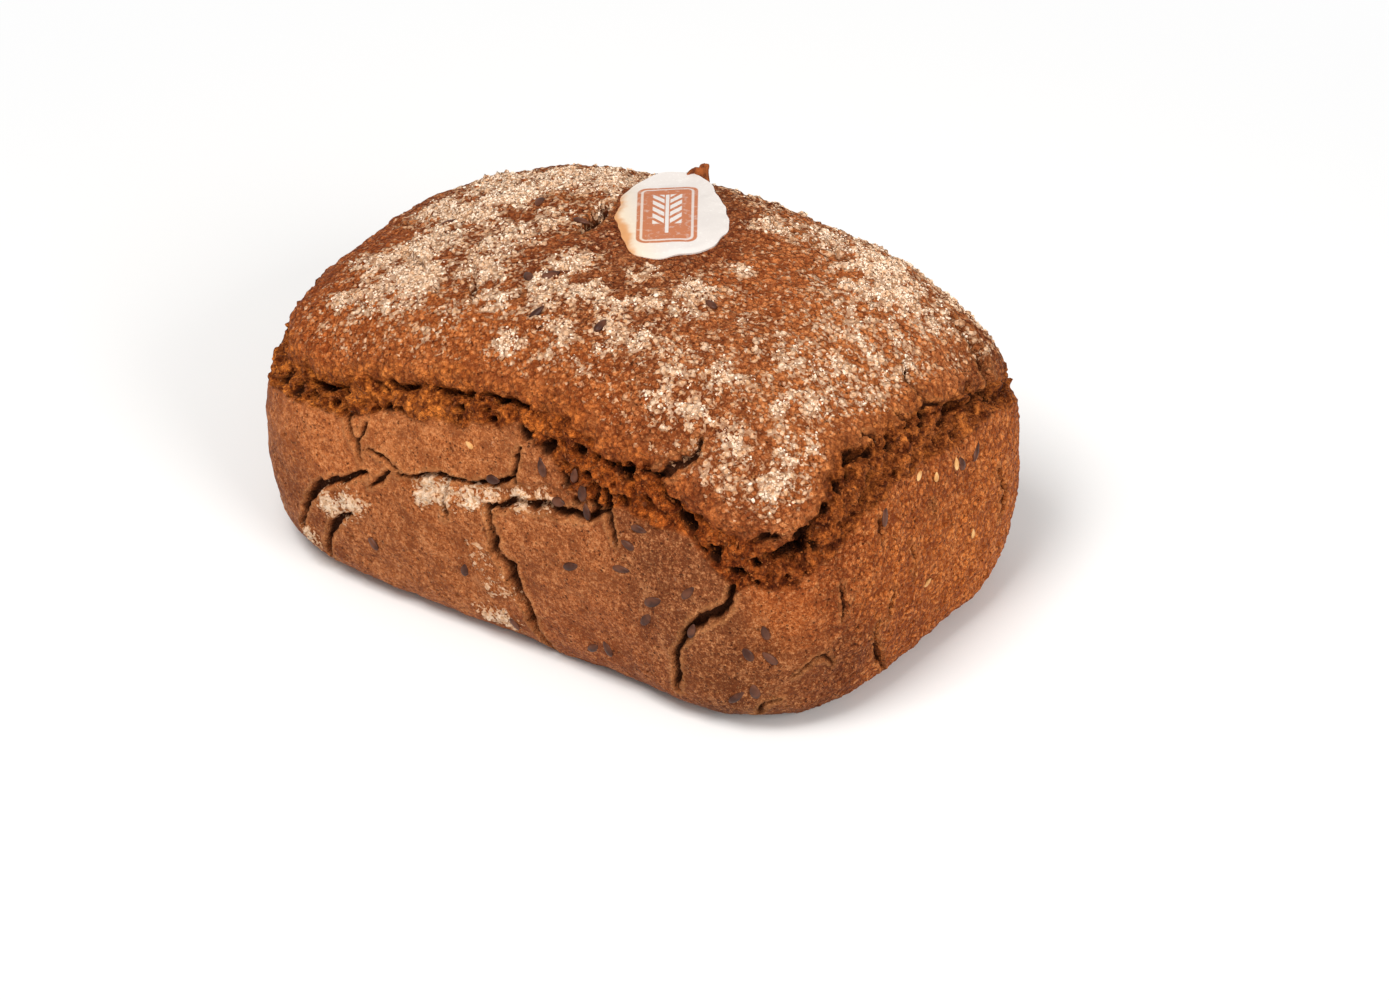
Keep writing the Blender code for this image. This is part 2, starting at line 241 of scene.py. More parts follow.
# ------------------------------------------------------------------ noise
def scramble(i, j, k, seed):
    """One well mixed 32-bit number for each lattice point."""
    h = (i.astype(np.uint32) * np.uint32(374761393)
         + j.astype(np.uint32) * np.uint32(668265263)
         + k.astype(np.uint32) * np.uint32(3266489917)
         + np.uint32((seed * 2654435761) & 0xFFFFFFFF))
    h = (h ^ (h >> np.uint32(15))) * np.uint32(2246822519)
    h = (h ^ (h >> np.uint32(13))) * np.uint32(3266489917)
    return h ^ (h >> np.uint32(16))


def three_shares(h):
    """Three numbers from -1 to 1 out of one 32-bit number."""
    return (
        (h & np.uint32(1023)).astype(np.float32) / 511.5 - 1.0,
        ((h >> np.uint32(10)) & np.uint32(1023)).astype(np.float32) / 511.5 - 1.0,
        ((h >> np.uint32(20)) & np.uint32(1023)).astype(np.float32) / 511.5 - 1.0,
    )


def noise(points, size, seed):
    """Smooth gradient noise, about -1 to 1, with lumps of about this size."""
    p = (points / size + 1000.0).astype(np.float32)
    cell = np.floor(p).astype(np.int64)
    f = p - cell
    fade = f * f * f * (f * (f * 6.0 - 15.0) + 10.0)
    total = np.zeros(len(p), np.float32)
    for a in (0, 1):
        wx = fade[:, 0] if a else 1.0 - fade[:, 0]
        for b in (0, 1):
            wy = fade[:, 1] if b else 1.0 - fade[:, 1]
            for c in (0, 1):
                wz = fade[:, 2] if c else 1.0 - fade[:, 2]
                gx, gy, gz = three_shares(
                    scramble(cell[:, 0] + a, cell[:, 1] + b, cell[:, 2] + c, seed))
                dot = gx * (f[:, 0] - a) + gy * (f[:, 1] - b) + gz * (f[:, 2] - c)
                total += wx * wy * wz * dot
    return total * 1.4


def layered(points, size, octaves, seed, gain=0.5):
    total = np.zeros(len(points), np.float32)
    weight = 1.0
    for octave in range(octaves):
        total += weight * noise(points, size / 2 ** octave, seed + 17 * octave)
        weight *= gain
    return total


def nearest_cell(points, size, seed):
    """Distance to the nearest scattered point, in cell sizes, and a random share for it."""
    p = (points / size + 1000.0).astype(np.float32)
    cell = np.floor(p).astype(np.int64)
    best = np.full(len(p), 9.0, np.float32)
    share = np.zeros(len(p), np.float32)
    for a in (-1, 0, 1):
        for b in (-1, 0, 1):
            for c in (-1, 0, 1):
                i, j, k = cell[:, 0] + a, cell[:, 1] + b, cell[:, 2] + c
                h = scramble(i, j, k, seed)
                jx, jy, jz = three_shares(h)
                d = np.sqrt((i + 0.5 + 0.5 * jx - p[:, 0]) ** 2
                            + (j + 0.5 + 0.5 * jy - p[:, 1]) ** 2
                            + (k + 0.5 + 0.5 * jz - p[:, 2]) ** 2)
                near = d < best
                best = np.where(near, d, best)
                share = np.where(near, (h >> np.uint32(8)).astype(np.float32) / 2 ** 24, share)
    return best, share


def smooth(value, low, high):
    t = np.clip((value - low) / (high - low), 0.0, 1.0)
    return t * t * (3.0 - 2.0 * t)


# ------------------------------------------------------------------ the loaf's smooth form
TURNS = 1440
STEPS = 420


def swollen(points):
    """Moves points out or in by the local swells."""
    way = (points - SWELL_HEART) / SWELL_RADII ** 2
    way[..., 2] = np.maximum(way[..., 2], 0.0)
    way /= np.maximum(np.linalg.norm(way, axis=-1, keepdims=True), 1e-9)
    lift = np.zeros(points.shape[:-1])
    for x, y, z, amount in SWELLS:
        apart = ((points - (x, y, z)) ** 2).sum(-1)
        lift += amount * np.exp(-apart / (2.0 * SWELL_SPREAD ** 2))
    lift *= smooth(points[..., 2], 0.0, 3.0)
    return points + way * lift[..., None]


def rings_of_form():
    """Each level's half length, half width, squareness, height and share of the dome's tilt."""
    rise = np.linspace(0.0, 1.0, 61)
    height = rise * RIM_HEIGHT
    drop = np.clip(1.0 - height / BASE_EDGE_RADIUS, 0.0, 1.0)
    tuck = BASE_EDGE_RADIUS * (1.0 - np.sqrt(1.0 - drop ** 2))
    bow = WALL_BOW * 4.0 * rise * (1.0 - rise)
    wall = [
        BASE_HALF[0] + (RIM_HALF[0] - BASE_HALF[0]) * rise + bow - tuck,
        BASE_HALF[1] + (RIM_HALF[1] - BASE_HALF[1]) * rise + bow - tuck,
        BASE_SQUARENESS + (RIM_SQUARENESS - BASE_SQUARENESS) * rise,
        height,
        np.zeros_like(rise),
    ]
    turn = np.linspace(0.0, math.pi / 2.0, 201)[1:]
    inward, upward = np.maximum(np.cos(turn), 1e-7), np.sin(turn)
    long, across, up = DOME_FULLNESS
    dome = [
        RIM_HALF[0] * inward ** (2.0 / long),
        RIM_HALF[1] * inward ** (2.0 / across),
        RIM_SQUARENESS + (CROWN_SQUARENESS - RIM_SQUARENESS) * upward ** 1.5,
        RIM_HEIGHT + (CROWN_HEIGHT - RIM_HEIGHT) * upward ** (2.0 / up),
        upward,
    ]
    return [np.concatenate(pair) for pair in zip(wall, dome)]


def build_form():
    """The form as a table: for each bearing, points at even steps from the bottom's edge to
    the crown; with the climb at the crown and the distance along for each bearing."""
    half_length, half_width, square, height, tilt = rings_of_form()
    bearing = np.linspace(-math.pi, math.pi, TURNS + 1)[:, None]
    turn = np.arctan2(np.sin(bearing) * half_length / RIM_HALF[0],
                      np.cos(bearing) * half_width / RIM_HALF[1])
    c, s = np.abs(np.cos(turn)), np.abs(np.sin(turn))
    reach = (c ** square + s ** square) ** (-1.0 / square)
    x = half_length * reach * np.cos(turn)
    y = half_width * reach * np.sin(turn)
    z = height + (DOME_TILT[0] * x + DOME_TILT[1] * y) * tilt
    points = swollen(np.stack([x, y, z], -1))
    step = np.linalg.norm(np.diff(points, axis=1), axis=-1)
    climb = np.concatenate([np.zeros((TURNS + 1, 1)), np.cumsum(step, axis=1)], axis=1)
    even = np.empty((TURNS + 1, STEPS + 1, 3))
    share = np.linspace(0.0, 1.0, STEPS + 1)
    for row in range(TURNS + 1):
        for axis in range(3):
            even[row, :, axis] = np.interp(share * climb[row, -1], climb[row], points[row, :, axis])
    middle = points[:, 30, :2]
    run = np.concatenate([[0.0], np.cumsum(np.hypot(*np.diff(middle, axis=0).T))])
    front = np.interp(-math.pi / 2.0, bearing[:, 0], run)
    return even, climb[:, -1], (run - front) * ROUND / run[-1], bearing[:, 0]


FORM, CROWN_CLIMB, ALONG_TABLE, BEARING_TABLE = build_form()
FORM_SLIDE = np.zeros(3)


def on_form(bearing, climb):
    """Points of the smooth form, in mm, at these bearings and climbs."""
    bearing = (bearing + math.pi) % (2.0 * math.pi)
    column = bearing / (2.0 * math.pi) * TURNS
    i = np.clip(column.astype(int), 0, TURNS - 1)
    w = (column - i)[:, None]
    top = CROWN_CLIMB[i] * (1.0 - w[:, 0]) + CROWN_CLIMB[i + 1] * w[:, 0]
    step = np.clip(climb / top, 0.0, 1.0) * STEPS
    j = np.clip(step.astype(int), 0, STEPS - 1)
    v = (step - j)[:, None]
    low = FORM[i, j] * (1.0 - w) + FORM[i + 1, j] * w
    high = FORM[i, j + 1] * (1.0 - w) + FORM[i + 1, j + 1] * w
    return low * (1.0 - v) + high * v


def crown_climb(bearing):
    return np.interp(bearing, BEARING_TABLE, CROWN_CLIMB)


def along_of(bearing):
    """Distance round the walls, from -ROUND/2 to ROUND/2."""
    along = np.interp(bearing, BEARING_TABLE, ALONG_TABLE)
    return (along + ROUND / 2.0) % ROUND - ROUND / 2.0


def bearing_of(along):
    first = ALONG_TABLE[0]
    wrapped = (along - first) % ROUND + first
    return np.interp(wrapped, ALONG_TABLE, BEARING_TABLE)


def shoulder(along, column):
    return np.interp(along, SHOULDER[:, 0], SHOULDER[:, column], period=ROUND)


def form_height(x, y):
    """Height of the smooth dome over points of the plan, and their climb."""
    bearing = np.arctan2(y / RIM_HALF[1], x / RIM_HALF[0])
    top = crown_climb(bearing)
    low, high = np.full_like(top, 60.0), top.copy()
    reach = np.hypot(x, y)
    for _ in range(36):
        middle = (low + high) / 2.0
        p = on_form(bearing, middle)
        outside = np.hypot(p[:, 0], p[:, 1]) > reach
        low = np.where(outside, middle, low)
        high = np.where(outside, high, middle)
    return on_form(bearing, high)[:, 2], bearing, high


# ------------------------------------------------------------------ relief of the crust
def way_distance(u, v, way, wrap):
    """Distance to a broken line, and how far along it the nearest point is, 0 to 1."""
    best = np.full(len(u), 1e9)
    where = np.zeros(len(u))
    pieces = len(way) - 1
    for n in range(pieces):
        (u0, v0), (u1, v1) = way[n], way[n + 1]
        du, dv = u1 - u0, v1 - v0
        pu = u - u0
        if wrap:
            pu = (pu + ROUND / 2.0) % ROUND - ROUND / 2.0
        pv = v - v0
        t = np.clip((pu * du + pv * dv) / (du * du + dv * dv), 0.0, 1.0)
        d = np.hypot(pu - t * du, pv - t * dv)
        near = d < best
        best = np.where(near, d, best)
        where = np.where(near, (n + t) / pieces, where)
    return best, where


def cracked(u, v, cracks, wrap):
    """Depth of the cracks here, how near their broken edges are, and the painted shade of their
    dark middle.
    """
    depth = np.zeros(len(u))
    edge = np.zeros(len(u))
    crack_shade = np.zeros(len(u))
    for half_width, depth_and_shade, *way in cracks:
        us = [p[0] for p in way]
        vs = [p[1] for p in way]
        off = u - (min(us) + max(us)) / 2.0
        if wrap:
            off = (off + ROUND / 2.0) % ROUND - ROUND / 2.0
        close = (np.abs(off) < (max(us) - min(us)) / 2.0 + 6.0)
        close &= (v > min(vs) - 6.0) & (v < max(vs) + 6.0)
        if not close.any():
            continue
        d, where = way_distance(u[close], v[close], way, wrap)
        taper = np.sin(math.pi * np.clip(where, 0.04, 0.96)) ** 0.6
        width = 1.22 * half_width * (0.35 + 0.65 * taper)
        if depth_and_shade < 0.0:
            ledge = -depth_and_shade * (1.0 - smooth(d, 0.6 * width, width))
            depth[close] = np.maximum(depth[close], ledge)
            continue
        open_part = 1.0 - smooth(d, 0.6 * width, 0.95 * width + 0.12)
        depth[close] = np.maximum(depth[close], 1.15 * depth_and_shade * open_part)
        # painted shade: the open part of a crack is marked dark, more so the deeper it is
        crack_shade[close] = np.maximum(crack_shade[close], open_part * min(1.0, 0.55 + 0.2 * depth_and_shade))
        lip = np.exp(-((d - width - 0.65) / 0.5) ** 2)
        edge[close] = np.maximum(edge[close], lip)
    return depth, edge, crack_shade


def patches(u, v, spots, wrap):
    """Sum of soft round spots (u, v, radius, strength)."""
    total = np.zeros(len(u))
    for su, sv, radius, strength in spots:
        off = u - su
        if wrap:
            off = (off + ROUND / 2.0) % ROUND - ROUND / 2.0
        d2 = (off ** 2 + (v - sv) ** 2) / radius ** 2
        total = np.maximum(total, strength * np.exp(-0.5 * d2 ** 1.3))
    return total


def sponge(p, seed):
    """Relief of torn crumb: lumps and pores, in mm, with negative values deep."""
    lumps = 1.6 * layered(p, 8.0, 2, seed) + 1.25 * layered(p, 3.0, 2, seed + 40, 0.75)
    ridged = 0.9 - 2.2 * np.abs(noise(p, 4.6, seed + 60))
    pore, share = nearest_cell(p, 4.4, seed + 90)
    hole = (1.0 - smooth(pore, 0.16, 0.42)) * (share > 0.45)
    return lumps + 1.0 * ridged - 2.6 * hole


def tag_cover(x, y):
    """1 under the wafer tag, fading to 0 just outside it."""
    return 1.0 - smooth(tag_share(x, y), 0.94, 1.12)


def crust_relief(p, along, climb, side):
    """Everything that stands off the smooth form: the lift along the normal, and the masks."""
    warp_a = 1.5 * noise(p, 7.0, 3) + 0.75 * noise(p, 2.2, 4) + 0.3 * noise(p, 1.0, 5)
    warp_c = 1.5 * noise(p, 7.0, 6) + 0.75 * noise(p, 2.2, 7) + 0.3 * noise(p, 1.0, 8)
    edge_line, tear_line = shoulder(along, 1), shoulder(along, 2)
    lip_line, gap = shoulder(along, 3), shoulder(along, 4)
    crack_a = along + 0.9 * noise(p, 4.6, 14) + 0.7 * noise(p, 1.7, 15) + 0.25 * noise(p, 0.8, 29)
    crack_c = climb + 0.9 * noise(p, 4.6, 16) + 0.7 * noise(p, 1.7, 17) + 0.25 * noise(p, 0.8, 30)
    out = {}

    swell = 0.55 * layered(p, 26.0, 2, 11) + 0.5 * noise(p, 9.0, 12) + 0.34 * noise(p, 4.5, 18)
    # torn crumb between the edge of the walls and the lip of the dome
    broad = 2.2 * noise(p, 9.0, 21) + 1.3 * noise(p, 3.4, 22) + 0.6 * noise(p, 1.5, 23)
    if side == "wall":
        torn = smooth(climb + broad - edge_line, -0.5, 0.7)
        below = tear_line - climb
    else:
        torn = 1.0 - smooth(climb + 1.1 * broad - lip_line, -1.6, 1.6)
        below = climb - tear_line
    scuff = np.zeros(len(p))
    if side == "dome":
        reach = np.interp(along, SCUFFED[:, 0], SCUFFED[:, 1], period=ROUND)
        scuff = 1.0 - smooth((climb + 1.4 * broad - lip_line) / reach, 0.25, 1.1)
    scuff = np.maximum(scuff, torn)
    crumb = sponge(p, 31)
    recess = torn * (1.2 - 1.15 * np.minimum(crumb, 1.9))
    recess -= 0.3 * (scuff - torn) * np.minimum(crumb, 1.0)

    # the long sides are smooth where the tin held them; the ends and the crown are mealy
    if side == "wall":
        round_end = smooth(along, 70.0, 90.0) * (1.0 - smooth(along, 160.0, 175.0))
        other_end = smooth(-along, 76.0, 96.0) * (1.0 - smooth(-along, 155.0, 170.0))
        mealy = 0.12 + 0.26 * np.maximum(round_end, 0.7 * other_end)
    else:
        mealy = np.full(len(p), 0.34)
    granule, _ = nearest_cell(p, 1.7, 19)
    mealy = mealy + (0.3 - mealy) * torn
    grain = mealy * (layered(p, 2.2, 2, 13, 0.9) + 0.9 * (0.5 - granule))

    # the open gap: both sides plunge inwards over the last stretch
    half_gap = 0.5 * gap * (1.0 + 1.3 * noise(p, 6.0, 25) + 0.8 * noise(p, 2.0, 26))
    half_gap = np.maximum(half_gap, 0.0)
    wavy = 0.8 * noise(p, 3.0, 27) + 0.5 * noise(p, 1.3, 28)
    open_gap = 1.0 - smooth(below + (wavy if side == "wall" else -wavy), half_gap * 0.6,
                            half_gap + 0.9)
    plunge = 4.6 * open_gap * smooth(gap, 0.7, 1.5) * smooth(half_gap, 0.15, 0.7)

    hole = np.zeros(len(p))
    for ha, hc, half_wide, half_high, depth_and_shade in HOLES:
        off = (crack_a - ha + ROUND / 2.0) % ROUND - ROUND / 2.0
        d = np.hypot(off / half_wide, (crack_c - hc) / half_high)
        hole = np.maximum(hole, depth_and_shade * (1.0 - smooth(d, 0.5, 1.15)))

    # dry cracks
    if side == "wall":
        depth, edge, crack_shade = cracked(crack_a, crack_c, WALL_CRACKS, True)
        fade = 1.0 - torn
        depth, edge, crack_shade = depth * (0.3 + 0.7 * fade), edge * fade, crack_shade * (0.4 + 0.6 * fade)
    else:
        depth, edge, crack_shade = cracked(crack_a, crack_c, DOME_CRACKS, True)
        x, y = p[:, 0] + crack_a - along, p[:, 1] + crack_c - climb
        more, more_edge, more_crack_shade = cracked(x, y, CROWN_CRACKS, False)
        depth, edge = np.maximum(depth, more), np.maximum(edge, more_edge)
        crack_shade = np.maximum(crack_shade, more_crack_shade)

    # small pores of the crust
    pore, share = nearest_cell(p, 4.2, 61)
    rate = 0.55 if side == "wall" else 0.25
    pits = (1.0 - smooth(pore, 0.05, 0.17)) * (share < rate) * (1.0 - torn)
    fine_pore, fine_share = nearest_cell(p, 2.1, 62)
    pits += 0.5 * (1.0 - smooth(fine_pore, 0.08, 0.22)) * (fine_share < rate * 0.7)

    # flour
    if side == "wall":
        flour = patches(along + 0.5 * warp_a, climb + 0.5 * warp_c, WALL_FLOUR, True)
        speckle = 0.42 * noise(p, 2.6, 71) + 0.42 * noise(p, 1.2, 72)
        flour = np.clip(flour + speckle * 0.35 * smooth(flour, 0.02, 0.3), 0.0, 1.0)
        flour = flour * (1.0 - 0.7 * torn) * (0.9 + 0.7 * noise(p, 5.0, 77))
        cover = np.zeros(len(p))
    else:
        x, y = p[:, 0], p[:, 1]
        flour = patches(x + 1.6 * warp_a, y + 1.6 * warp_c, FLOUR, False)
        speckle = 0.5 * noise(p, 5.5, 73) + 0.5 * noise(p, 2.3, 74) + 0.35 * noise(p, 1.2, 75)
        # behind the crown the dusting goes on as it shows in front
        behind = smooth(y, 36.0, 46.0)
        flour = np.maximum(flour, behind * (0.55 + 0.4 * noise(p, 14.0, 76)))
        low_down = smooth(climb - lip_line, 1.0, 8.0)
        thin = 0.25 * low_down * (0.7 + 0.7 * smooth(x, 15.0, 50.0))
        flour = np.clip(thin + 0.62 * flour + 0.62 * speckle * smooth(flour + thin, 0.1, 0.5),
                        0.0, 1.0)
        flour = flour * (1.0 - 0.9 * torn) * (1.0 - 0.35 * scuff)
        cover = tag_cover(x, y)
        flour *= 1.0 - cover
        pins = np.zeros(len(p))
        for px, py, radius in PIN_HOLES:
            pins = np.maximum(pins, 1.0 - smooth(np.hypot(x - px, y - py), radius, radius + 0.5))
        depth = np.maximum(depth, 2.2 * pins)
    crumbs = np.abs(layered(p, 1.6, 2, 81, 0.7))
    cake = smooth(flour, 0.30, 0.8) * (0.1 + 1.25 * crumbs)

    bulge = np.zeros(len(p))
    if side == "dome":
        bulge = 0.5 * np.exp(-((climb - lip_line - 2.5) / 3.5) ** 2)
    relief = swell + grain + 0.24 * edge * (1.0 - torn) + cake + bulge
    relief = relief * (1.0 - cover) - recess - depth - 0.55 * pits
    relief = np.minimum(relief, relief - hole)
    out["lift"] = relief - plunge
    out["flour"] = flour
    out["mealy"] = np.clip((mealy - 0.12) / 0.22, 0.0, 1.0)
    out["torn"] = np.maximum(torn, 0.6 * scuff)
    # painted shade: the mask is darkest in the torn crumb's recesses, the holes, the open gap, the
    # crack cores and the pores
    recess_shade = np.maximum(recess - 1.0 * torn, 0.0) * 0.9 + hole + 0.38 * plunge
    out["depth_and_shade"] = np.clip(np.maximum(recess_shade / 3.4, np.maximum(crack_shade, 0.55 * pits)), 0.0, 1.0)
    out["edge"] = np.clip(edge * (1.0 - torn), 0.0, 1.0)
    out["tone"] = np.clip(0.5 + 0.5 * layered(p, 30.0, 2, 91), 0.0, 1.0)
    return out


# ------------------------------------------------------------------ mesh helpers
def nothing_selected():
    bpy.ops.object.select_all(action="DESELECT")


def mesh_points(thing):
    points = np.empty(len(thing.data.vertices) * 3)
    thing.data.vertices.foreach_get("co", points)
    return points.reshape(-1, 3)


def set_points(thing, points):
    thing.data.vertices.foreach_set("co", np.ascontiguousarray(points, np.float32).reshape(-1))
    thing.data.update()


def face_corners(thing):
    corners = np.empty(len(thing.data.loops), np.int32)
    thing.data.loops.foreach_get("vertex_index", corners)
    return corners.reshape(-1, 4)


def vertex_normals(points, quads):
    a, b, c, d = (points[quads[:, n]] for n in range(4))
    face = np.cross(c - a, d - b)
    normal = np.zeros_like(points)
    for n in range(4):
        for axis in range(3):
            normal[:, axis] += np.bincount(quads[:, n], face[:, axis], len(points))
    return normal / np.maximum(np.linalg.norm(normal, axis=1, keepdims=True), 1e-12)


def set_mask(thing, name, values):
    layer = thing.data.attributes.new(name, "FLOAT", "POINT")
    layer.data.foreach_set("value", np.ascontiguousarray(values, np.float32))


def grid(name, columns, rows):
    nothing_selected()
    bpy.ops.mesh.primitive_grid_add(x_subdivisions=columns, y_subdivisions=rows, size=2.0)
    thing = bpy.context.object
    thing.name = name
    thing.data.name = name
    return thing


def to_world(points):
    return (points + FORM_SLIDE) * MM


# ------------------------------------------------------------------ where the tag lies
TAG_CENTRE = np.array([-4.0, 17.5])
TAG_CORNERS = (
    (-20.9, 22.4), (-17.0, 15.6), (-15.4, 10.6), (-7.6, 3.2), (-2.6, -2.6), (4.9, -1.8),
    (9.8, 3.6), (13.6, 8.6), (13.0, 17.2), (9.6, 23.4), (4.2, 28.6), (-8.2, 38.6),
    (-15.6, 38.2), (-20.2, 31.0),
)


def tag_outline():
    """The tag's outline as bearing and reach from its centre, corners cut round."""
    ring = np.array(TAG_CORNERS, float)
    for _ in range(2):
        after = np.roll(ring, -1, axis=0)
        ring = np.stack([0.75 * ring + 0.25 * after, 0.25 * ring + 0.75 * after], 1).reshape(-1, 2)
    away = ring - TAG_CENTRE
    bearing = np.arctan2(away[:, 1], away[:, 0])
    order = np.argsort(bearing)
    return bearing[order], np.hypot(*away.T)[order]


TAG_BEARING, TAG_REACH = tag_outline()


def tag_share(x, y):
    """How far out over the tag a point of the plan lies: 1 at the tag's edge."""
    away_x, away_y = x - TAG_CENTRE[0], y - TAG_CENTRE[1]
    bearing = np.arctan2(away_y, away_x)
    reach = np.interp(bearing, TAG_BEARING, TAG_REACH, period=2.0 * math.pi)
    return np.hypot(away_x, away_y) / reach


# ------------------------------------------------------------------ how brown it is, by region
# walls: along, climb, sRGB colour of the crust
WALL_BAKE = (
    (-55, 48, (186, 110, 62)), (-62, 30, (150, 87, 51)), (-30, 55, (178, 106, 60)),
    (-28, 28, (164, 97, 56)), (-15, 38, (170, 102, 60)), (15, 40, (163, 96, 56)),
    (22, 22, (158, 90, 52)), (48, 42, (132, 75, 44)), (40, 12, (142, 80, 46)),
    (64, 30, (124, 68, 35)), (66, 8, (100, 53, 28)), (78, 45, (172, 94, 44)),
    (82, 20, (142, 78, 40)), (105, 40, (200, 114, 52)), (105, 15, (188, 106, 50)),
    (130, 35, (214, 126, 60)), (150, 30, (212, 124, 60)), (125, 58, (190, 108, 52)),
    (190, 30, (168, 98, 54)), (225, 40, (176, 104, 58)), (-190, 30, (166, 96, 54)),
    (-215, 45, (172, 102, 56)), (-130, 35, (166, 96, 50)), (-95, 30, (156, 88, 48)),
)
# dome: x, y, sRGB colour of the crust between the flour
DOME_BAKE = (
    (-60, -38, (192, 108, 54)), (-70, -20, (186, 104, 54)), (-40, -45, (192, 110, 56)),
    (-20, -46, (192, 110, 56)), (-45, -15, (166, 92, 52)), (-50, 15, (170, 96, 54)),
    (-25, -5, (162, 88, 46)), (-25, 20, (168, 92, 48)), (-10, 10, (146, 76, 40)),
    (0, -15, (160, 92, 54)), (5, -45, (188, 108, 56)), (15, -20, (164, 96, 58)),
    (10, 12, (158, 86, 46)), (30, 10, (196, 116, 66)), (30, -15, (184, 110, 64)),
    (45, -40, (168, 96, 54)), (50, 10, (204, 126, 74)), (60, -20, (196, 120, 70)),
    (60, 25, (204, 128, 80)), (70, 0, (192, 114, 62)), (30, 35, (196, 120, 74)),
    (0, 42, (150, 84, 46)), (-40, 40, (168, 98, 56)), (70, 35, (150, 84, 44)),
)


# torn crumb: along, sRGB colour
CRUMB_BAKE = (
    (-70, (176, 100, 42)), (-30, (174, 98, 42)), (0, (164, 88, 36)), (30, (158, 82, 32)),
    (50, (164, 84, 34)), (65, (146, 74, 30)), (80, (142, 74, 32)), (100, (152, 84, 38)),
    (130, (160, 90, 42)), (180, (150, 82, 36)), (230, (160, 88, 38)), (-200, (160, 88, 38)),
    (-140, (150, 82, 36)), (-100, (158, 86, 38)),
)
BAKE_TRIM = np.array([1.0, 0.90, 0.74])


def to_linear(colour):
    c = np.asarray(colour, float) / 255.0
    return np.where(c <= 0.04045, c / 12.92, ((c + 0.055) / 1.055) ** 2.4)


def region_colour(u, v, samples, spread, wrap):
    """The crust's colour here, blended from the samples near it."""
    total = np.zeros((len(u), 3))
    weight = np.zeros(len(u))
    for su, sv, colour in samples:
        off = u - su
        if wrap:
            off = (off + ROUND / 2.0) % ROUND - ROUND / 2.0
        w = 1.0 / (1.0 + ((off ** 2 + (v - sv) ** 2) / spread ** 2) ** 2) ** 1.5
        total += w[:, None] * to_linear(colour)
        weight += w
    return total / weight[:, None]


def crumb_colour(along):
    return region_colour(along, 0.0 * along, [(a, 0.0, c) for a, c in CRUMB_BAKE], 14.0, True)


# ------------------------------------------------------------------ the crust
SKIRT_FROM = 0.955  # share of a crust piece's rows after which it turns in
SKIRT_DEPTH = 5.0
SKIRT_OVERLAP = 2.5
DOME_GRID = (352, 274)
FRONT_GRID = (600, 160)
BACK_GRID = (480, 160)
FRONT_FROM = -80.0  # along, where the seen stretch of wall starts
BACK_FROM = 165.0  # along, where the stretch of wall behind starts

def finish_crust(thing, points, masks, colour, along):
    set_points(thing, to_world(points))
    for name in ("flour", "torn", "depth_and_shade", "edge", "tone", "mealy"):
        set_mask(thing, name, masks[name])
    layer = thing.data.attributes.new("bake", "FLOAT_COLOR", "POINT")
    filled = np.ones((len(points), 4), np.float32)
    share = np.clip(masks["torn"], 0.0, 1.0)[:, None]
    filled[:, :3] = (colour * (1.0 - share) + crumb_colour(along) * share) * BAKE_TRIM
    layer.data.foreach_set("color", filled.reshape(-1))
    nothing_selected()
    thing.select_set(True)
    bpy.context.view_layer.objects.active = thing
    bpy.ops.object.shade_smooth()
    return thing


def make_dome(columns, rows):
    """The crown of the loaf, from its top down to the tear, with a skirt turned in below."""
    thing = grid("crust_dome", columns, rows)
    uv = mesh_points(thing)[:, :2]
    ring = np.maximum(np.abs(uv[:, 0]), np.abs(uv[:, 1]))
    bearing = np.arctan2(uv[:, 1], uv[:, 0])
    along = along_of(bearing)
    share = np.minimum(ring / SKIRT_FROM, 1.0)
    tuck = np.clip((ring - SKIRT_FROM) / (1.0 - SKIRT_FROM), 0.0, 1.0)
    bottom = shoulder(along, 2)
    top = crown_climb(bearing)
    climb = top + (bottom - top) * share - SKIRT_OVERLAP * tuck
    p = on_form(bearing, climb)
    quads = face_corners(thing)
    normal = vertex_normals(p, quads)
    masks = crust_relief(p, along, climb, "dome")
    lift = masks["lift"] - SKIRT_DEPTH * tuck
    points = p + normal * lift[:, None]
    droop = 0.7 * np.exp(-((climb - shoulder(along, 3) - 0.4) / 2.2) ** 2)
    points[:, 2] -= droop
    colour = region_colour(p[:, 0], p[:, 1], DOME_BAKE, 9.0, False)
    # painted shade: the skirt turned in under the tear is painted fully dark
    masks["depth_and_shade"] = np.maximum(masks["depth_and_shade"], tuck)
    return finish_crust(thing, points, masks, colour, along), masks


def make_walls(name, first, last, columns, rows):
    """A stretch of the walls, from under the bottom edge up to the tear, with a skirt turned in."""
    thing = grid(name, columns, rows)
    uv = mesh_points(thing)[:, :2]
    along = first + (last - first) * (uv[:, 0] + 1.0) / 2.0
    level = (uv[:, 1] + 1.0) / 2.0
    bearing = bearing_of(along)
    under = 0.03
    share = np.clip((level - under) / (SKIRT_FROM - under), 0.0, 1.0)
    tuck = np.clip((level - SKIRT_FROM) / (1.0 - SKIRT_FROM), 0.0, 1.0)
    inward = np.clip((under - level) / under, 0.0, 1.0)
    climb = shoulder(along, 2) * share + SKIRT_OVERLAP * tuck
    p = on_form(bearing, climb)
    quads = face_corners(thing)
    p_flat = p - np.stack([p[:, 0], p[:, 1], 0.0 * p[:, 2]], 1) * (inward * 0.10)[:, None]
    normal = vertex_normals(p, quads)
    masks = crust_relief(p, along, climb, "wall")
    settle = smooth(climb, 0.0, 5.0)
    lift = masks["lift"] * settle - SKIRT_DEPTH * tuck
    points = p_flat + normal * lift[:, None]
    points[:, 2] = np.maximum(points[:, 2], 0.0)
    colour = region_colour(along, climb, WALL_BAKE, 12.0, True)
    # painted shade: the skirt turned in at the top of the walls is painted fully dark
    masks["depth_and_shade"] = np.maximum(masks["depth_and_shade"], tuck)
    return finish_crust(thing, points, masks, colour, along), masks


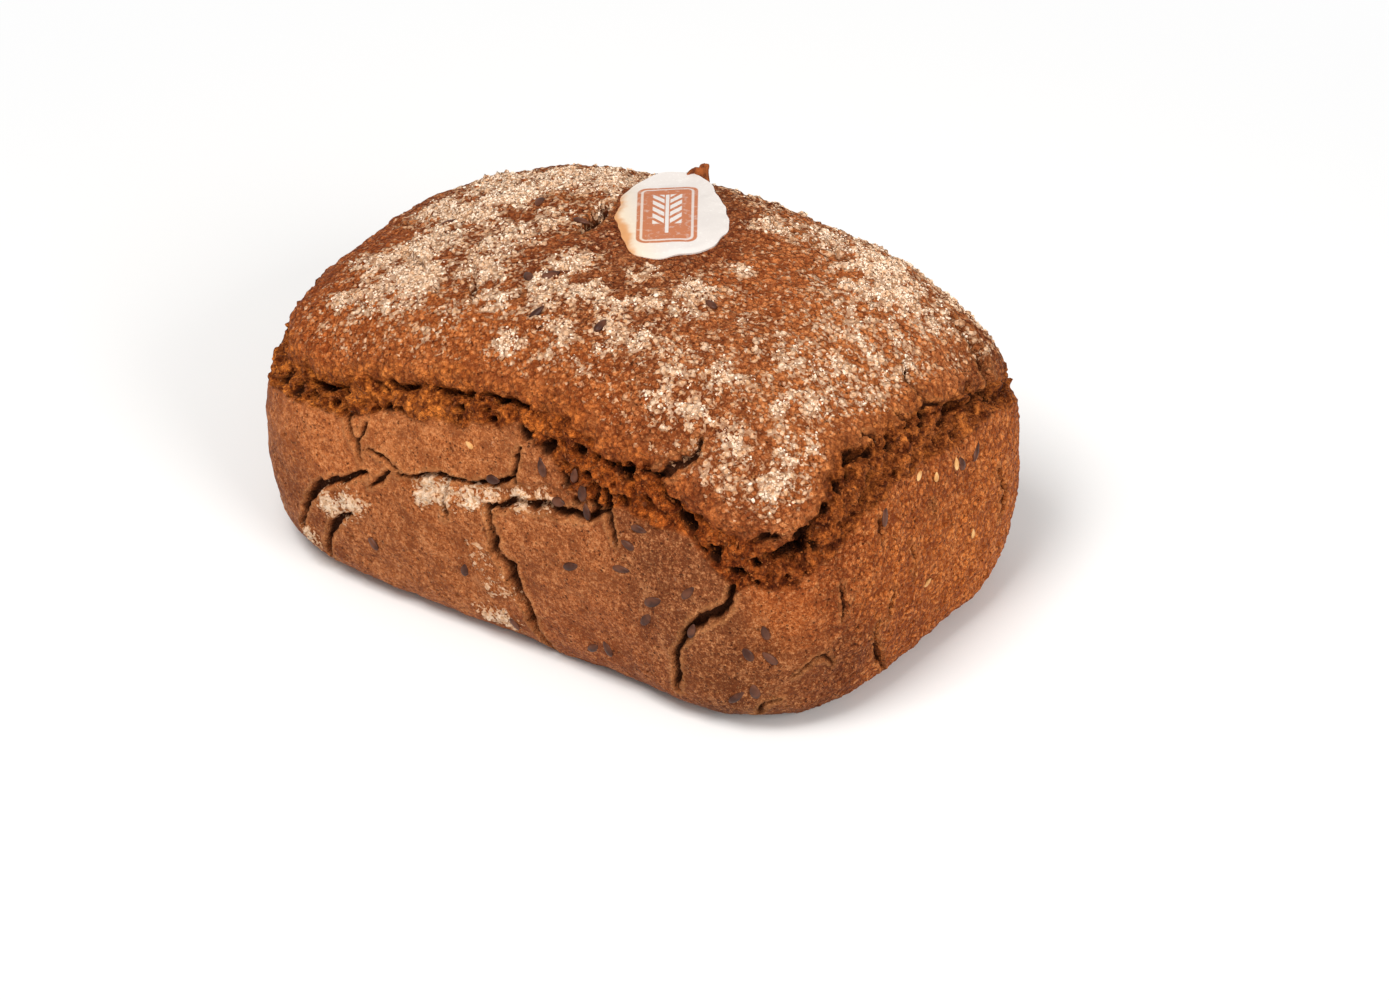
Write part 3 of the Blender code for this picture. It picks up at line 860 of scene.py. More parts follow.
def make_base():
    """The flat underside, a little wrinkled, closed against the foot of the walls."""
    thing = grid("crust_base", 90, 64)
    uv = mesh_points(thing)[:, :2]
    ring = np.maximum(np.abs(uv[:, 0]), np.abs(uv[:, 1]))
    bearing = np.arctan2(uv[:, 1], uv[:, 0])
    edge = on_form(bearing, np.zeros(len(bearing)))
    points = edge * ring[:, None] * 0.985
    points[:, 2] = 0.12 + 0.1 * np.abs(noise(points, 9.0, 41))
    thing.data.flip_normals()
    masks = {
        "flour": smooth(noise(points, 18.0, 42) + 0.4 * noise(points, 3.0, 43), 0.35, 0.7) * 0.7,
        "torn": np.zeros(len(ring)), "depth_and_shade": np.zeros(len(ring)), "edge": np.zeros(len(ring)),
        "mealy": np.full(len(ring), 0.3),
        "tone": np.clip(0.5 + 0.5 * noise(points, 22.0, 44), 0.0, 1.0),
    }
    colour = np.tile(to_linear((150, 86, 48)), (len(ring), 1))
    return finish_crust(thing, points, masks, colour, along_of(bearing))


# ------------------------------------------------------------------ scattered things
# length, width, thickness, how pointed, and how far the middle stands off the crust
LINSEED_SHAPE = (4.3, 2.3, 1.3, 0.75, -0.02)
SESAME_SHAPE = (2.9, 1.8, 0.9, 0.85, -0.05)
# how many, and their least and greatest radius
FLOUR_CLUMPS = (9600, (0.15, 0.42))
DOME_CRUMBS = (2600, (0.14, 0.42))
WALL_CRUMBS = (2600, (0.14, 0.46))


def joined(name, points, faces):
    """One mesh object out of many small bodies."""
    mesh = bpy.data.meshes.new(name)
    mesh.from_pydata(points.tolist(), [], faces.tolist())
    mesh.update()
    thing = bpy.data.objects.new(name, mesh)
    bpy.context.collection.objects.link(thing)
    return thing


def template(kind, **settings):
    """Points and triangles of a Blender primitive."""
    nothing_selected()
    if kind == "lump":
        bpy.ops.mesh.primitive_ico_sphere_add(radius=1.0, **settings)
    else:
        bpy.ops.mesh.primitive_uv_sphere_add(radius=1.0, **settings)
    thing = bpy.context.object
    bpy.ops.object.modifier_add(type="TRIANGULATE")
    bpy.ops.object.modifier_apply(modifier=thing.modifiers[0].name)
    points = mesh_points(thing)
    corners = np.empty(len(thing.data.loops), np.int32)
    thing.data.loops.foreach_get("vertex_index", corners)
    bpy.ops.object.delete()
    return points, corners.reshape(-1, 3)


def scatter(name, places, frames, bodies, faces):
    """Copies of one body, each with its own points, set on places in the given frames."""
    count, size = bodies.shape[0], bodies.shape[1]
    world = np.einsum("nij,nkj->nki", frames, bodies) + places[:, None, :]
    every = faces[None] + (np.arange(count) * size)[:, None, None]
    thing = joined(name, to_world(world.reshape(-1, 3)), every.reshape(-1, 3))
    nothing_selected()
    thing.select_set(True)
    bpy.context.view_layer.objects.active = thing
    bpy.ops.object.shade_smooth()
    return thing


def frames_of(normals, turns):
    """Frames whose third axis is the normal, turned about it; columns are the axes."""
    up = np.tile([0.0, 0.0, 1.0], (len(normals), 1))
    flat = np.abs(normals[:, 2]) > 0.9
    up[flat] = (0.0, 1.0, 0.0)
    side = np.cross(up, normals)
    side /= np.linalg.norm(side, axis=1, keepdims=True)
    over = np.cross(normals, side)
    c, s = np.cos(turns)[:, None], np.sin(turns)[:, None]
    return np.stack([side * c + over * s, over * c - side * s, normals], -1)


def surface_of(thing):
    """Points, four-cornered faces and normals of a finished crust piece, in mm of the form."""
    points = mesh_points(thing) / MM - FORM_SLIDE
    quads = face_corners(thing)
    return points, quads, vertex_normals(points, quads)


def seed_bodies(points, length, width, thick, pointed):
    """A pointed oval seed about its own middle, long way on its first axis."""
    x, y, z = points.T
    taper = np.sqrt(np.clip(1.0 - pointed * (0.5 + 0.5 * x) ** 2, 0.05, 1.0))
    return np.stack([x * length / 2.0, y * width / 2.0 * taper, z * thick / 2.0 * taper], 1)


def lay_seeds(name, spots, crusts, length, width, thick, pointed, sink):
    """Seeds pressed into the crust at these places: (bearing, climb, turn in degrees)."""
    ball, faces = template("ball", segments=16, ring_count=9)
    # the poles of the ball are the seed's ends
    ball = ball[:, [2, 0, 1]]
    body = seed_bodies(ball, length, width, thick, pointed)
    randomly = np.random.default_rng(len(spots) * 7 + 3)
    places, frames, bodies = [], [], []
    for bearing, climb, turn in spots:
        b = np.array([bearing, bearing, bearing + 0.01, bearing])
        c = np.array([climb, climb, climb, climb + 0.8])
        q = on_form(b, c)
        way, up = q[2] - q[0], q[3] - q[0]
        normal = np.cross(way, up)
        normal /= np.linalg.norm(normal)
        way /= np.linalg.norm(way)
        up = np.cross(normal, way)
        crust = min(crusts, key=lambda s: ((s[0] - q[0]) ** 2).sum(1).min())
        near = ((crust[0] - q[0]) ** 2).sum(1)
        close = np.argsort(near)[:24]
        height = np.quantile((crust[0][close] - q[0]) @ normal, 0.7)
        a = math.radians(turn)
        first = way * math.cos(a) + up * math.sin(a)
        second = np.cross(normal, first)
        tip = normal + 0.10 * randomly.normal(size=3)
        tip /= np.linalg.norm(tip)
        second = np.cross(tip, first)
        second /= np.linalg.norm(second)
        first = np.cross(second, tip)
        frames.append(np.stack([first, second, tip], -1))
        places.append(q[0] + normal * (height + sink))
        bodies.append(body * (1.0 + 0.10 * randomly.normal(size=(1, 3))))
    return scatter(name, np.array(places), np.array(frames), np.array(bodies), faces)


def lay_lumps(name, surface, weight, count, size, seed, detail, flat=0.7, proud=0.25):
    """Rough little lumps strewn over the crust where the weight is high."""
    points, quads, normals = surface
    randomly = np.random.default_rng(seed)
    face_weight = weight[quads].mean(1) ** 1.6
    a, b, c, d = (points[quads[:, n]] for n in range(4))
    area = np.linalg.norm(np.cross(c - a, d - b), axis=1)
    chance = face_weight * area
    chosen = randomly.choice(len(quads), size=count, p=chance / chance.sum())
    s, t = randomly.random((2, count, 1))
    where = (a[chosen] * (1 - s) * (1 - t) + b[chosen] * s * (1 - t)
             + c[chosen] * s * t + d[chosen] * (1 - s) * t)
    normal = normals[quads[chosen]].mean(1)
    normal /= np.linalg.norm(normal, axis=1, keepdims=True)
    lump, faces = template("lump", subdivisions=detail)
    low, high = size
    radius = low * (high / low) ** (randomly.random(count) ** 1.8)
    bodies = lump[None] * (1.0 + 0.24 * randomly.normal(size=(count, len(lump), 1)))
    bodies = bodies * (1.0 + 0.2 * randomly.normal(size=(count, 1, 3)))
    bodies = bodies * radius[:, None, None]
    bodies[:, :, 2] *= flat
    frames = frames_of(normal, randomly.random(count) * 2.0 * math.pi)
    return scatter(name, where + normal * (radius * proud)[:, None], frames, bodies, faces)


# ------------------------------------------------------------------ the wafer tag
TAG_THICKNESS = 0.9
TAG_TURN = 33.0
TAG_PRINT = (-4.5, 17.5)


def height_over(dome_points, x, y):
    """Height of the finished dome under points of the plan, smoothed over a few mm."""
    out = np.empty(len(x))
    flat = dome_points[:, :2]
    for n in range(len(x)):
        d2 = (flat[:, 0] - x[n]) ** 2 + (flat[:, 1] - y[n]) ** 2
        close = d2 < 4.0
        out[n] = np.quantile(dome_points[close, 2], 0.9)
    return out


def make_tag(dome_points):
    """The wafer tag: a sheet of edible paper laid over the crown, its far edge lifted."""
    thing = grid("wafer_sheet", 90, 90)
    uv = mesh_points(thing)[:, :2]
    ring = np.maximum(np.abs(uv[:, 0]), np.abs(uv[:, 1]))
    bearing = np.arctan2(uv[:, 1], uv[:, 0])
    reach = np.interp(bearing, TAG_BEARING, TAG_REACH, period=2.0 * math.pi)
    worn = 0.012 * np.sin(9.0 * bearing) + 0.010 * np.sin(17.0 * bearing + 1.0)
    reach = 0.955 * reach * (1.0 + worn)
    x = TAG_CENTRE[0] + reach * ring * np.cos(bearing)
    y = TAG_CENTRE[1] + reach * ring * np.sin(bearing)
    near = (np.abs(dome_points[:, 0] + 4.0) < 22) & (np.abs(dome_points[:, 1] - 17.5) < 24)
    pick = np.linspace(-1.0, 1.0, 9)
    gx, gy = np.meshgrid(TAG_CENTRE[0] + 15.0 * pick, TAG_CENTRE[1] + 18.0 * pick)
    gz = height_over(dome_points[near], gx.ravel(), gy.ravel())
    terms = np.stack([np.ones(81), gx.ravel(), gy.ravel(), gx.ravel() ** 2, gx.ravel() * gy.ravel(),
                      gy.ravel() ** 2], 1)
    fit = np.linalg.lstsq(terms, gz, rcond=None)[0]
    z = np.stack([np.ones(len(x)), x, y, x ** 2, x * y, y ** 2], 1) @ fit
    p = np.stack([x, y, z], 1)
    z += 0.55 + 0.22 * noise(p, 8.0, 51) + 0.06 * noise(p, 2.2, 52)
    z += 1.3 * np.clip(ring - 0.72, 0.0, 1.0) / 0.28 * np.clip((y - 24.0) / 12.0, 0.0, 1.0)
    z -= 0.35 * smooth(ring, 0.9, 1.0) * (1.0 - np.clip((y - 20.0) / 12.0, 0.0, 1.0))
    set_points(thing, to_world(np.stack([x, y, z], 1)))
    set_mask(thing, "rim", ring)
    layer = thing.data.attributes.new("place", "FLOAT_VECTOR", "POINT")
    # across and along the print, in mm, about the middle of the print
    turn = math.radians(TAG_TURN)
    px, py = x - TAG_PRINT[0], y - TAG_PRINT[1]
    across = px * math.cos(turn) + py * math.sin(turn)
    upward = -px * math.sin(turn) + py * math.cos(turn)
    layer.data.foreach_set(
        "vector", np.stack([across, upward, 0 * x], 1).astype(np.float32).reshape(-1))
    nothing_selected()
    thing.select_set(True)
    bpy.context.view_layer.objects.active = thing
    bpy.ops.object.modifier_add(type="SOLIDIFY")
    thick = thing.modifiers[0]
    thick.thickness = TAG_THICKNESS * MM
    thick.offset = -1.0
    bpy.ops.object.modifier_apply(modifier=thick.name)
    bpy.ops.object.shade_smooth_by_angle(angle=math.radians(50.0))
    return thing


def make_flake(dome_points):
    """A brown scale of crust that stands up behind the tag."""
    thing = grid("crust_flake", 26, 18)
    uv = mesh_points(thing)[:, :2]
    u, v = uv[:, 0], (uv[:, 1] + 1.0) / 2.0
    base_x, base_y = -10.4, 37.6
    near = (np.abs(dome_points[:, 0] - base_x) < 10) & (np.abs(dome_points[:, 1] - base_y) < 10)
    ground = height_over(dome_points[near], np.array([base_x]), np.array([base_y]))[0]
    width = 3.3 * (1.0 - 0.4 * v ** 2) * (1.0 + 0.08 * np.sin(7.0 * v))
    x = base_x + 0.9 * width * u + 1.2 * v
    y = base_y + 0.45 * width * u + 1.6 * v ** 2 - 0.8 * u * u
    z = ground - 1.0 + v * (5.2 + 0.7 * np.sin(2.0 * u) + 0.2 * np.sin(8.0 * u + 1.0))
    p = np.stack([x, y, z], 1)
    p += 0.35 * np.stack([noise(p, 2.4, 55), noise(p, 2.4, 56), noise(p, 2.4, 57)], 1)
    set_points(thing, to_world(p))
    nothing_selected()
    thing.select_set(True)
    bpy.context.view_layer.objects.active = thing
    bpy.ops.object.modifier_add(type="SOLIDIFY")
    thick = thing.modifiers[0]
    thick.thickness = 0.8 * MM
    thick.offset = 0.0
    bpy.ops.object.modifier_apply(modifier=thick.name)
    bpy.ops.object.shade_smooth()
    return thing


# ------------------------------------------------------------------ materials
def new_material(name):
    material = bpy.data.materials.new(name)
    material.use_nodes = True
    tree = material.node_tree
    tree.nodes.clear()
    out = tree.nodes.new("ShaderNodeOutputMaterial")
    shader = tree.nodes.new("ShaderNodeBsdfPrincipled")
    tree.links.new(shader.outputs["BSDF"], out.inputs["Surface"])
    return material, tree, shader


def put(tree, value, socket):
    """Links an output, or sets a number or a colour, on a socket."""
    if isinstance(value, bpy.types.NodeSocket):
        tree.links.new(value, socket)
    elif isinstance(value, tuple) and len(value) == 3 and socket.type == "RGBA":
        socket.default_value = (*value, 1.0)
    else:
        socket.default_value = value


def srgb(r, g, b):
    return tuple(float(c) for c in to_linear((r, g, b)))


def mix(tree, factor, a, b, blend="MIX"):
    node = tree.nodes.new("ShaderNodeMix")
    node.data_type = "RGBA"
    node.blend_type = blend
    node.clamp_factor = True
    put(tree, factor, node.inputs[0])
    put(tree, a, node.inputs[6])
    put(tree, b, node.inputs[7])
    return node.outputs[2]


def maths(tree, operation, a, b=None, c=None):
    node = tree.nodes.new("ShaderNodeMath")
    node.operation = operation
    put(tree, a, node.inputs[0])
    if b is not None:
        put(tree, b, node.inputs[1])
    if c is not None:
        put(tree, c, node.inputs[2])
    return node.outputs[0]


def times(tree, a, b):
    return maths(tree, "MULTIPLY", a, b)


def span(tree, value, low, high, to_low=0.0, to_high=1.0):
    node = tree.nodes.new("ShaderNodeMapRange")
    node.interpolation_type = "SMOOTHSTEP"
    put(tree, value, node.inputs["Value"])
    node.inputs["From Min"].default_value = low
    node.inputs["From Max"].default_value = high
    node.inputs["To Min"].default_value = to_low
    node.inputs["To Max"].default_value = to_high
    return node.outputs["Result"]


def noise_of(tree, vector, size_mm, detail, rough=0.6):
    node = tree.nodes.new("ShaderNodeTexNoise")
    put(tree, vector, node.inputs["Vector"])
    node.inputs["Scale"].default_value = 1000.0 / size_mm
    node.inputs["Detail"].default_value = detail
    node.inputs["Roughness"].default_value = rough
    return node.outputs["Fac"]


def attribute(tree, name, output="Fac"):
    node = tree.nodes.new("ShaderNodeAttribute")
    node.attribute_name = name
    return node.outputs[output]


def object_place(tree):
    return tree.nodes.new("ShaderNodeTexCoord").outputs["Object"]


def build_grain():
    """Node group: the mealy grain of baked rye, as pale flecks, dark pits that carry painted shade,
    and a height.
    """
    group = bpy.data.node_groups.new("Mealy Grain", "ShaderNodeTree")
    group.interface.new_socket("Vector", in_out="INPUT", socket_type="NodeSocketVector")
    amount = group.interface.new_socket("Coarseness", in_out="INPUT", socket_type="NodeSocketFloat")
    amount.default_value = 1.0
    for name in ("Fleck", "Pit Shade", "Height"):
        group.interface.new_socket(name, in_out="OUTPUT", socket_type="NodeSocketFloat")
    enter = group.nodes.new("NodeGroupInput")
    leave = group.nodes.new("NodeGroupOutput")
    scaled = group.nodes.new("ShaderNodeVectorMath")
    scaled.operation = "SCALE"
    group.links.new(enter.outputs["Vector"], scaled.inputs[0])
    group.links.new(enter.outputs["Coarseness"], scaled.inputs["Scale"])
    place = scaled.outputs[0]
    fine = noise_of(group, place, 0.55, 2.0, 0.7)
    mid = noise_of(group, place, 1.5, 3.0, 0.65)
    cells = group.nodes.new("ShaderNodeTexVoronoi")
    group.links.new(place, cells.inputs["Vector"])
    cells.inputs["Scale"].default_value = 1000.0 / 1.1
    put(group, span(group, fine, 0.55, 0.74), leave.inputs["Fleck"])
    # painted shade: small pits, sunk in the height below and coloured dark where they are used
    pit_shade = span(group, cells.outputs["Distance"], 0.12, 0.34, 1.0, 0.0)
    pit_shade = times(group, pit_shade, span(group, mid, 0.44, 0.60))
    put(group, pit_shade, leave.inputs["Pit Shade"])
    height = maths(group, "MULTIPLY_ADD", fine, 0.45, times(group, mid, 0.9))
    height = maths(group, "SUBTRACT", height, times(group, pit_shade, 0.5))
    put(group, height, leave.inputs["Height"])
    return group


def grain_of(tree, group, vector, coarseness):
    node = tree.nodes.new("ShaderNodeGroup")
    node.node_tree = group
    tree.links.new(vector, node.inputs["Vector"])
    node.inputs["Coarseness"].default_value = coarseness
    return node.outputs["Fleck"], node.outputs["Pit Shade"], node.outputs["Height"]


def bump(tree, height, strength, distance_mm, normal=None):
    node = tree.nodes.new("ShaderNodeBump")
    node.inputs["Strength"].default_value = strength
    node.inputs["Distance"].default_value = distance_mm * MM
    put(tree, height, node.inputs["Height"])
    if normal is not None:
        put(tree, normal, node.inputs["Normal"])
    return node.outputs["Normal"]


def crust_material(grain):
    """Baked rye crust: brown by region, orange in the torn crumb with painted shade and painted
    highlight, painted shade in the gaps, cracks and pores, floured.
    """
    material, tree, shader = new_material("baked rye crust")
    place = object_place(tree)
    fleck, pit_shade, height = grain_of(tree, grain, place, 1.0)
    bake = attribute(tree, "bake", "Color")
    flour, torn = attribute(tree, "flour"), attribute(tree, "torn")
    depth_and_shade, edge, tone = attribute(tree, "depth_and_shade"), attribute(tree, "edge"), attribute(tree, "tone")
    mealy = attribute(tree, "mealy")
    blotch = noise_of(tree, place, 5.0, 4.0, 0.7)
    dark = mix(tree, 1.0, bake, (0.47, 0.35, 0.25), "MULTIPLY")
    light = mix(tree, 0.5, mix(tree, 1.0, bake, (1.2, 1.32, 1.5), "MULTIPLY"),
                srgb(212, 150, 100))
    speck = noise_of(tree, place, 1.0, 3.0, 0.9)
    colour = mix(tree, span(tree, speck, 0.40, 0.53), dark, bake)
    colour = mix(tree, span(tree, speck, 0.53, 0.64), colour, light)
    colour = mix(tree, span(tree, blotch, 0.38, 0.54, 0.75, 0.0), colour, dark)
    colour = mix(tree, span(tree, blotch, 0.56, 0.70, 0.0, 0.45), colour, light)
    colour = mix(tree, times(tree, tone, 0.12), colour, light)
    rough = span(tree, noise_of(tree, place, 1.9, 2.0, 0.8), 0.40, 0.52, 0.62, 0.0)
    colour = mix(tree, times(tree, rough, mealy), colour, dark)
    colour = mix(tree, times(tree, fleck, maths(tree, "MULTIPLY_ADD", mealy, 0.25, 0.45)),
                 colour, srgb(218, 156, 100))
    # painted shade in the pits of the grain
    colour = mix(tree, times(tree, pit_shade, 0.75), colour, srgb(66, 28, 12))
    # painted shade and painted highlight: the torn crumb is near black in its hollows and pale on
    # its lumps, following the same noise as its bump
    crumb_grain = noise_of(tree, place, 2.9, 5.0, 0.8)
    crumb = mix(tree, span(tree, crumb_grain, 0.38, 0.54),
                mix(tree, 1.0, bake, (0.26, 0.18, 0.13), "MULTIPLY"), bake)
    crumb = mix(tree, span(tree, crumb_grain, 0.50, 0.63), crumb,
                mix(tree, 1.0, bake, (2.0, 2.35, 2.5), "MULTIPLY"))
    colour = mix(tree, torn, colour, crumb)
    colour = mix(tree, times(tree, edge, 0.26), colour, srgb(206, 142, 86))
    # painted shade: near black-brown in the gaps, holes, crack cores, pores and the skirts turned
    # in
    colour = mix(tree, span(tree, depth_and_shade, 0.08, 0.85, 0.0, 0.93), colour, srgb(58, 28, 13))
    # flour lies in single grains where it is thin and closes up where it is thick
    lot = tree.nodes.new("ShaderNodeTexVoronoi")
    put(tree, place, lot.inputs["Vector"])
    lot.inputs["Scale"].default_value = 1000.0 / 1.25
    small = tree.nodes.new("ShaderNodeTexVoronoi")
    put(tree, place, small.inputs["Vector"])
    small.inputs["Scale"].default_value = 1000.0 / 0.62
    first = tree.nodes.new("ShaderNodeSeparateColor")
    put(tree, lot.outputs["Color"], first.inputs[0])
    second = tree.nodes.new("ShaderNodeSeparateColor")
    put(tree, small.outputs["Color"], second.inputs[0])
    chance = maths(tree, "MULTIPLY_ADD", first.outputs[0], 0.55,
                   times(tree, second.outputs[0], 0.45))
    cover = span(tree, maths(tree, "SUBTRACT", times(tree, flour, 1.12), chance),
                 -0.06, 0.10)
    meal = mix(tree, second.outputs[1], srgb(206, 158, 116), srgb(246, 220, 192))
    meal = mix(tree, span(tree, flour, 0.2, 0.8, 0.65, 0.0), meal, srgb(212, 154, 108))
    colour = mix(tree, times(tree, cover, 0.94), colour, meal)
    # painted shade: dark between the grains of meal, which are also sunk there in the bump
    shade_between_grains = span(tree, lot.outputs["Distance"], 0.36, 0.72)
    shade_between_grains = times(tree, shade_between_grains, maths(tree, "MULTIPLY_ADD", mealy, 0.55, 0.12))
    colour = mix(tree, shade_between_grains, colour, mix(tree, 1.0, colour, (0.42, 0.30, 0.24), "MULTIPLY"))
    put(tree, colour, shader.inputs["Base Color"])
    put(tree, span(tree, flour, 0.0, 0.6, 0.62, 0.9), shader.inputs["Roughness"])
    shader.inputs["Specular IOR Level"].default_value = 0.08
    stacked = maths(tree, "MULTIPLY_ADD", cover, 0.35,
                    maths(tree, "MULTIPLY_ADD", speck, 0.4, height))
    stacked = maths(tree, "SUBTRACT", stacked, times(tree, shade_between_grains, 0.8))
    stacked = maths(tree, "MULTIPLY_ADD", times(tree, torn, crumb_grain), 2.2, stacked)
    put(tree, bump(tree, stacked, 1.0, 0.8), shader.inputs["Normal"])
    return material


def seed_material(name, dark, light, grain, roughness):
    material, tree, shader = new_material(name)
    place = object_place(tree)
    fleck, _, height = grain_of(tree, grain, place, 0.8)
    patchy = noise_of(tree, place, 4.0, 2.0)
    colour = mix(tree, span(tree, patchy, 0.35, 0.65), dark, light)
    put(tree, mix(tree, times(tree, fleck, 0.3), colour, light),
        shader.inputs["Base Color"])
    shader.inputs["Specular IOR Level"].default_value = 0.2
    shader.inputs["Roughness"].default_value = roughness
    put(tree, bump(tree, height, 0.15, 0.1), shader.inputs["Normal"])
    return material


def lump_material(name, low, high, grain):
    material, tree, shader = new_material(name)
    place = object_place(tree)
    _, pit_shade, height = grain_of(tree, grain, place, 0.7)
    patchy = noise_of(tree, place, 1.8, 3.0)
    colour = mix(tree, span(tree, patchy, 0.36, 0.62), low, high)
    # painted shade in the pits of the grain
    put(tree, mix(tree, times(tree, pit_shade, 0.45), colour, low),
        shader.inputs["Base Color"])
    shader.inputs["Roughness"].default_value = 0.9
    shader.inputs["Specular IOR Level"].default_value = 0.2
    put(tree, bump(tree, height, 0.5, 0.2), shader.inputs["Normal"])
    return material


def wafer_material(grain):
    """White edible paper with a plain red-brown print, toasted along one side."""
    material, tree, shader = new_material("printed wafer")
    spot = tree.nodes.new("ShaderNodeAttribute")
    spot.attribute_name = "place"
    split = tree.nodes.new("ShaderNodeSeparateXYZ")
    tree.links.new(spot.outputs["Vector"], split.inputs[0])
    across, upward = split.outputs[0], split.outputs[1]
    place = object_place(tree)
    fleck, _, height = grain_of(tree, grain, place, 0.6)
    # a round-cornered field with a pale line inside its edge and an ear of grain left white
    corner_a = maths(tree, "MAXIMUM", maths(tree, "SUBTRACT",
                     maths(tree, "ABSOLUTE", across), 4.4), 0.0)
    corner_u = maths(tree, "MAXIMUM", maths(tree, "SUBTRACT",
                     maths(tree, "ABSOLUTE", upward), 11.4), 0.0)
    out_by = maths(tree, "SQRT", maths(tree, "ADD", maths(tree, "POWER", corner_a, 2.0),
                                       maths(tree, "POWER", corner_u, 2.0)))
    field = span(tree, out_by, 2.45, 2.75, 1.0, 0.0)
    line = span(tree, maths(tree, "ABSOLUTE", maths(tree, "SUBTRACT", out_by, 1.45)),
                0.18, 0.42, 0.8, 0.0)
    bend = maths(tree, "ABSOLUTE", across)
    stalk = times(tree, span(tree, bend, 0.3, 0.5, 1.0, 0.0),
                  span(tree, maths(tree, "ABSOLUTE", upward), 9.6, 9.9, 1.0, 0.0))
    along_ear = maths(tree, "SUBTRACT", upward, times(tree, bend, 1.2))
    grains = maths(tree, "ABSOLUTE", maths(tree, "SUBTRACT",
                   maths(tree, "FRACT", maths(tree, "DIVIDE", along_ear, 3.4)), 0.5))
    kernels = times(tree, span(tree, grains, 0.27, 0.33, 1.0, 0.0),
                    times(tree, span(tree, bend, 3.2, 3.5, 1.0, 0.0),
                          span(tree, bend, 0.55, 0.8, 0.0, 1.0)))
    kernels = times(tree, kernels,
                    span(tree, maths(tree, "ABSOLUTE", maths(tree, "SUBTRACT", upward, 2.2)),
                         7.4, 7.8, 1.0, 0.0))
    white = maths(tree, "MAXIMUM", line, maths(tree, "MAXIMUM", stalk, kernels))
    ink = times(tree, field, maths(tree, "SUBTRACT", 1.0, white))
    worn = span(tree, noise_of(tree, place, 1.4, 3.0), 0.28, 0.50, 0.6, 0.95)
    toast_noise = noise_of(tree, place, 7.0, 3.0)
    rim = attribute(tree, "rim")
    # toasted towards the low left edge
    lean = maths(tree, "ADD", times(tree, across, -0.075),
                 times(tree, upward, -0.012))
    toast = span(tree, maths(tree, "ADD", maths(tree, "ADD", rim, lean),
                             times(tree, toast_noise, 0.9)), 1.95, 2.35)
    cream = span(tree, lean, 0.05, 1.0)
    paper = mix(tree, fleck, srgb(214, 207, 202), srgb(223, 218, 213))
    paper = mix(tree, times(tree, cream, 0.6), paper, srgb(230, 204, 160))
    paper = mix(tree, times(tree, toast, 0.85), paper, srgb(206, 138, 74))
    put(tree, mix(tree, times(tree, ink, worn), paper, srgb(180, 104, 62)),
        shader.inputs["Base Color"])
    shader.inputs["Roughness"].default_value = 0.75
    shader.inputs["Specular IOR Level"].default_value = 0.25
    put(tree, bump(tree, height, 0.3, 0.12), shader.inputs["Normal"])
    return material


def give(thing, material):
    thing.data.materials.clear()
    thing.data.materials.append(material)


# ------------------------------------------------------------------ studio
def make_floor(lowest):
    """A pale floor that runs out to white and keeps the loaf's shadow."""
    nothing_selected()
    bpy.ops.mesh.primitive_plane_add(size=8.0, location=(0.0, 0.0, lowest))
    floor = bpy.context.object
    floor.name = "studio_floor"
    material, tree, shader = new_material("studio floor")
    shader.inputs["Base Color"].default_value = (0.83, 0.83, 0.83, 1.0)
    shader.inputs["Roughness"].default_value = 0.95
    shader.inputs["Specular IOR Level"].default_value = 0.0
    place = object_place(tree)
    far = tree.nodes.new("ShaderNodeVectorMath")
    far.operation = "LENGTH"
    tree.links.new(place, far.inputs[0])
    seen = tree.nodes.new("ShaderNodeLightPath").outputs["Is Camera Ray"]
    glow = tree.nodes.new("ShaderNodeEmission")
    glow.inputs["Color"].default_value = (0.985, 0.985, 0.985, 1.0)
    blend = tree.nodes.new("ShaderNodeMixShader")
    put(tree, times(tree, seen, span(tree, far.outputs["Value"], 0.10, 0.30)),
        blend.inputs[0])
    tree.links.new(shader.outputs[0], blend.inputs[1])
    tree.links.new(glow.outputs[0], blend.inputs[2])
    out = next(n for n in tree.nodes if n.type == "OUTPUT_MATERIAL")
    tree.links.new(blend.outputs[0], out.inputs["Surface"])
    give(floor, material)
    return floor


def soft_light(name, towards, distance, size, power, colour):
    """A square area light, set out from the loaf in a direction and facing it."""
    way = Vector(towards).normalized()
    data = bpy.data.lights.new(name, "AREA")
    data.shape = "SQUARE"
    data.size = size
    data.energy = power
    data.color = colour
    lamp = bpy.data.objects.new(name, data)
    bpy.context.collection.objects.link(lamp)
    lamp.location = way * distance + Vector((0.0, 0.0, 0.04))
    lamp.rotation_euler = way.to_track_quat("Z", "Y").to_euler()
    return lamp


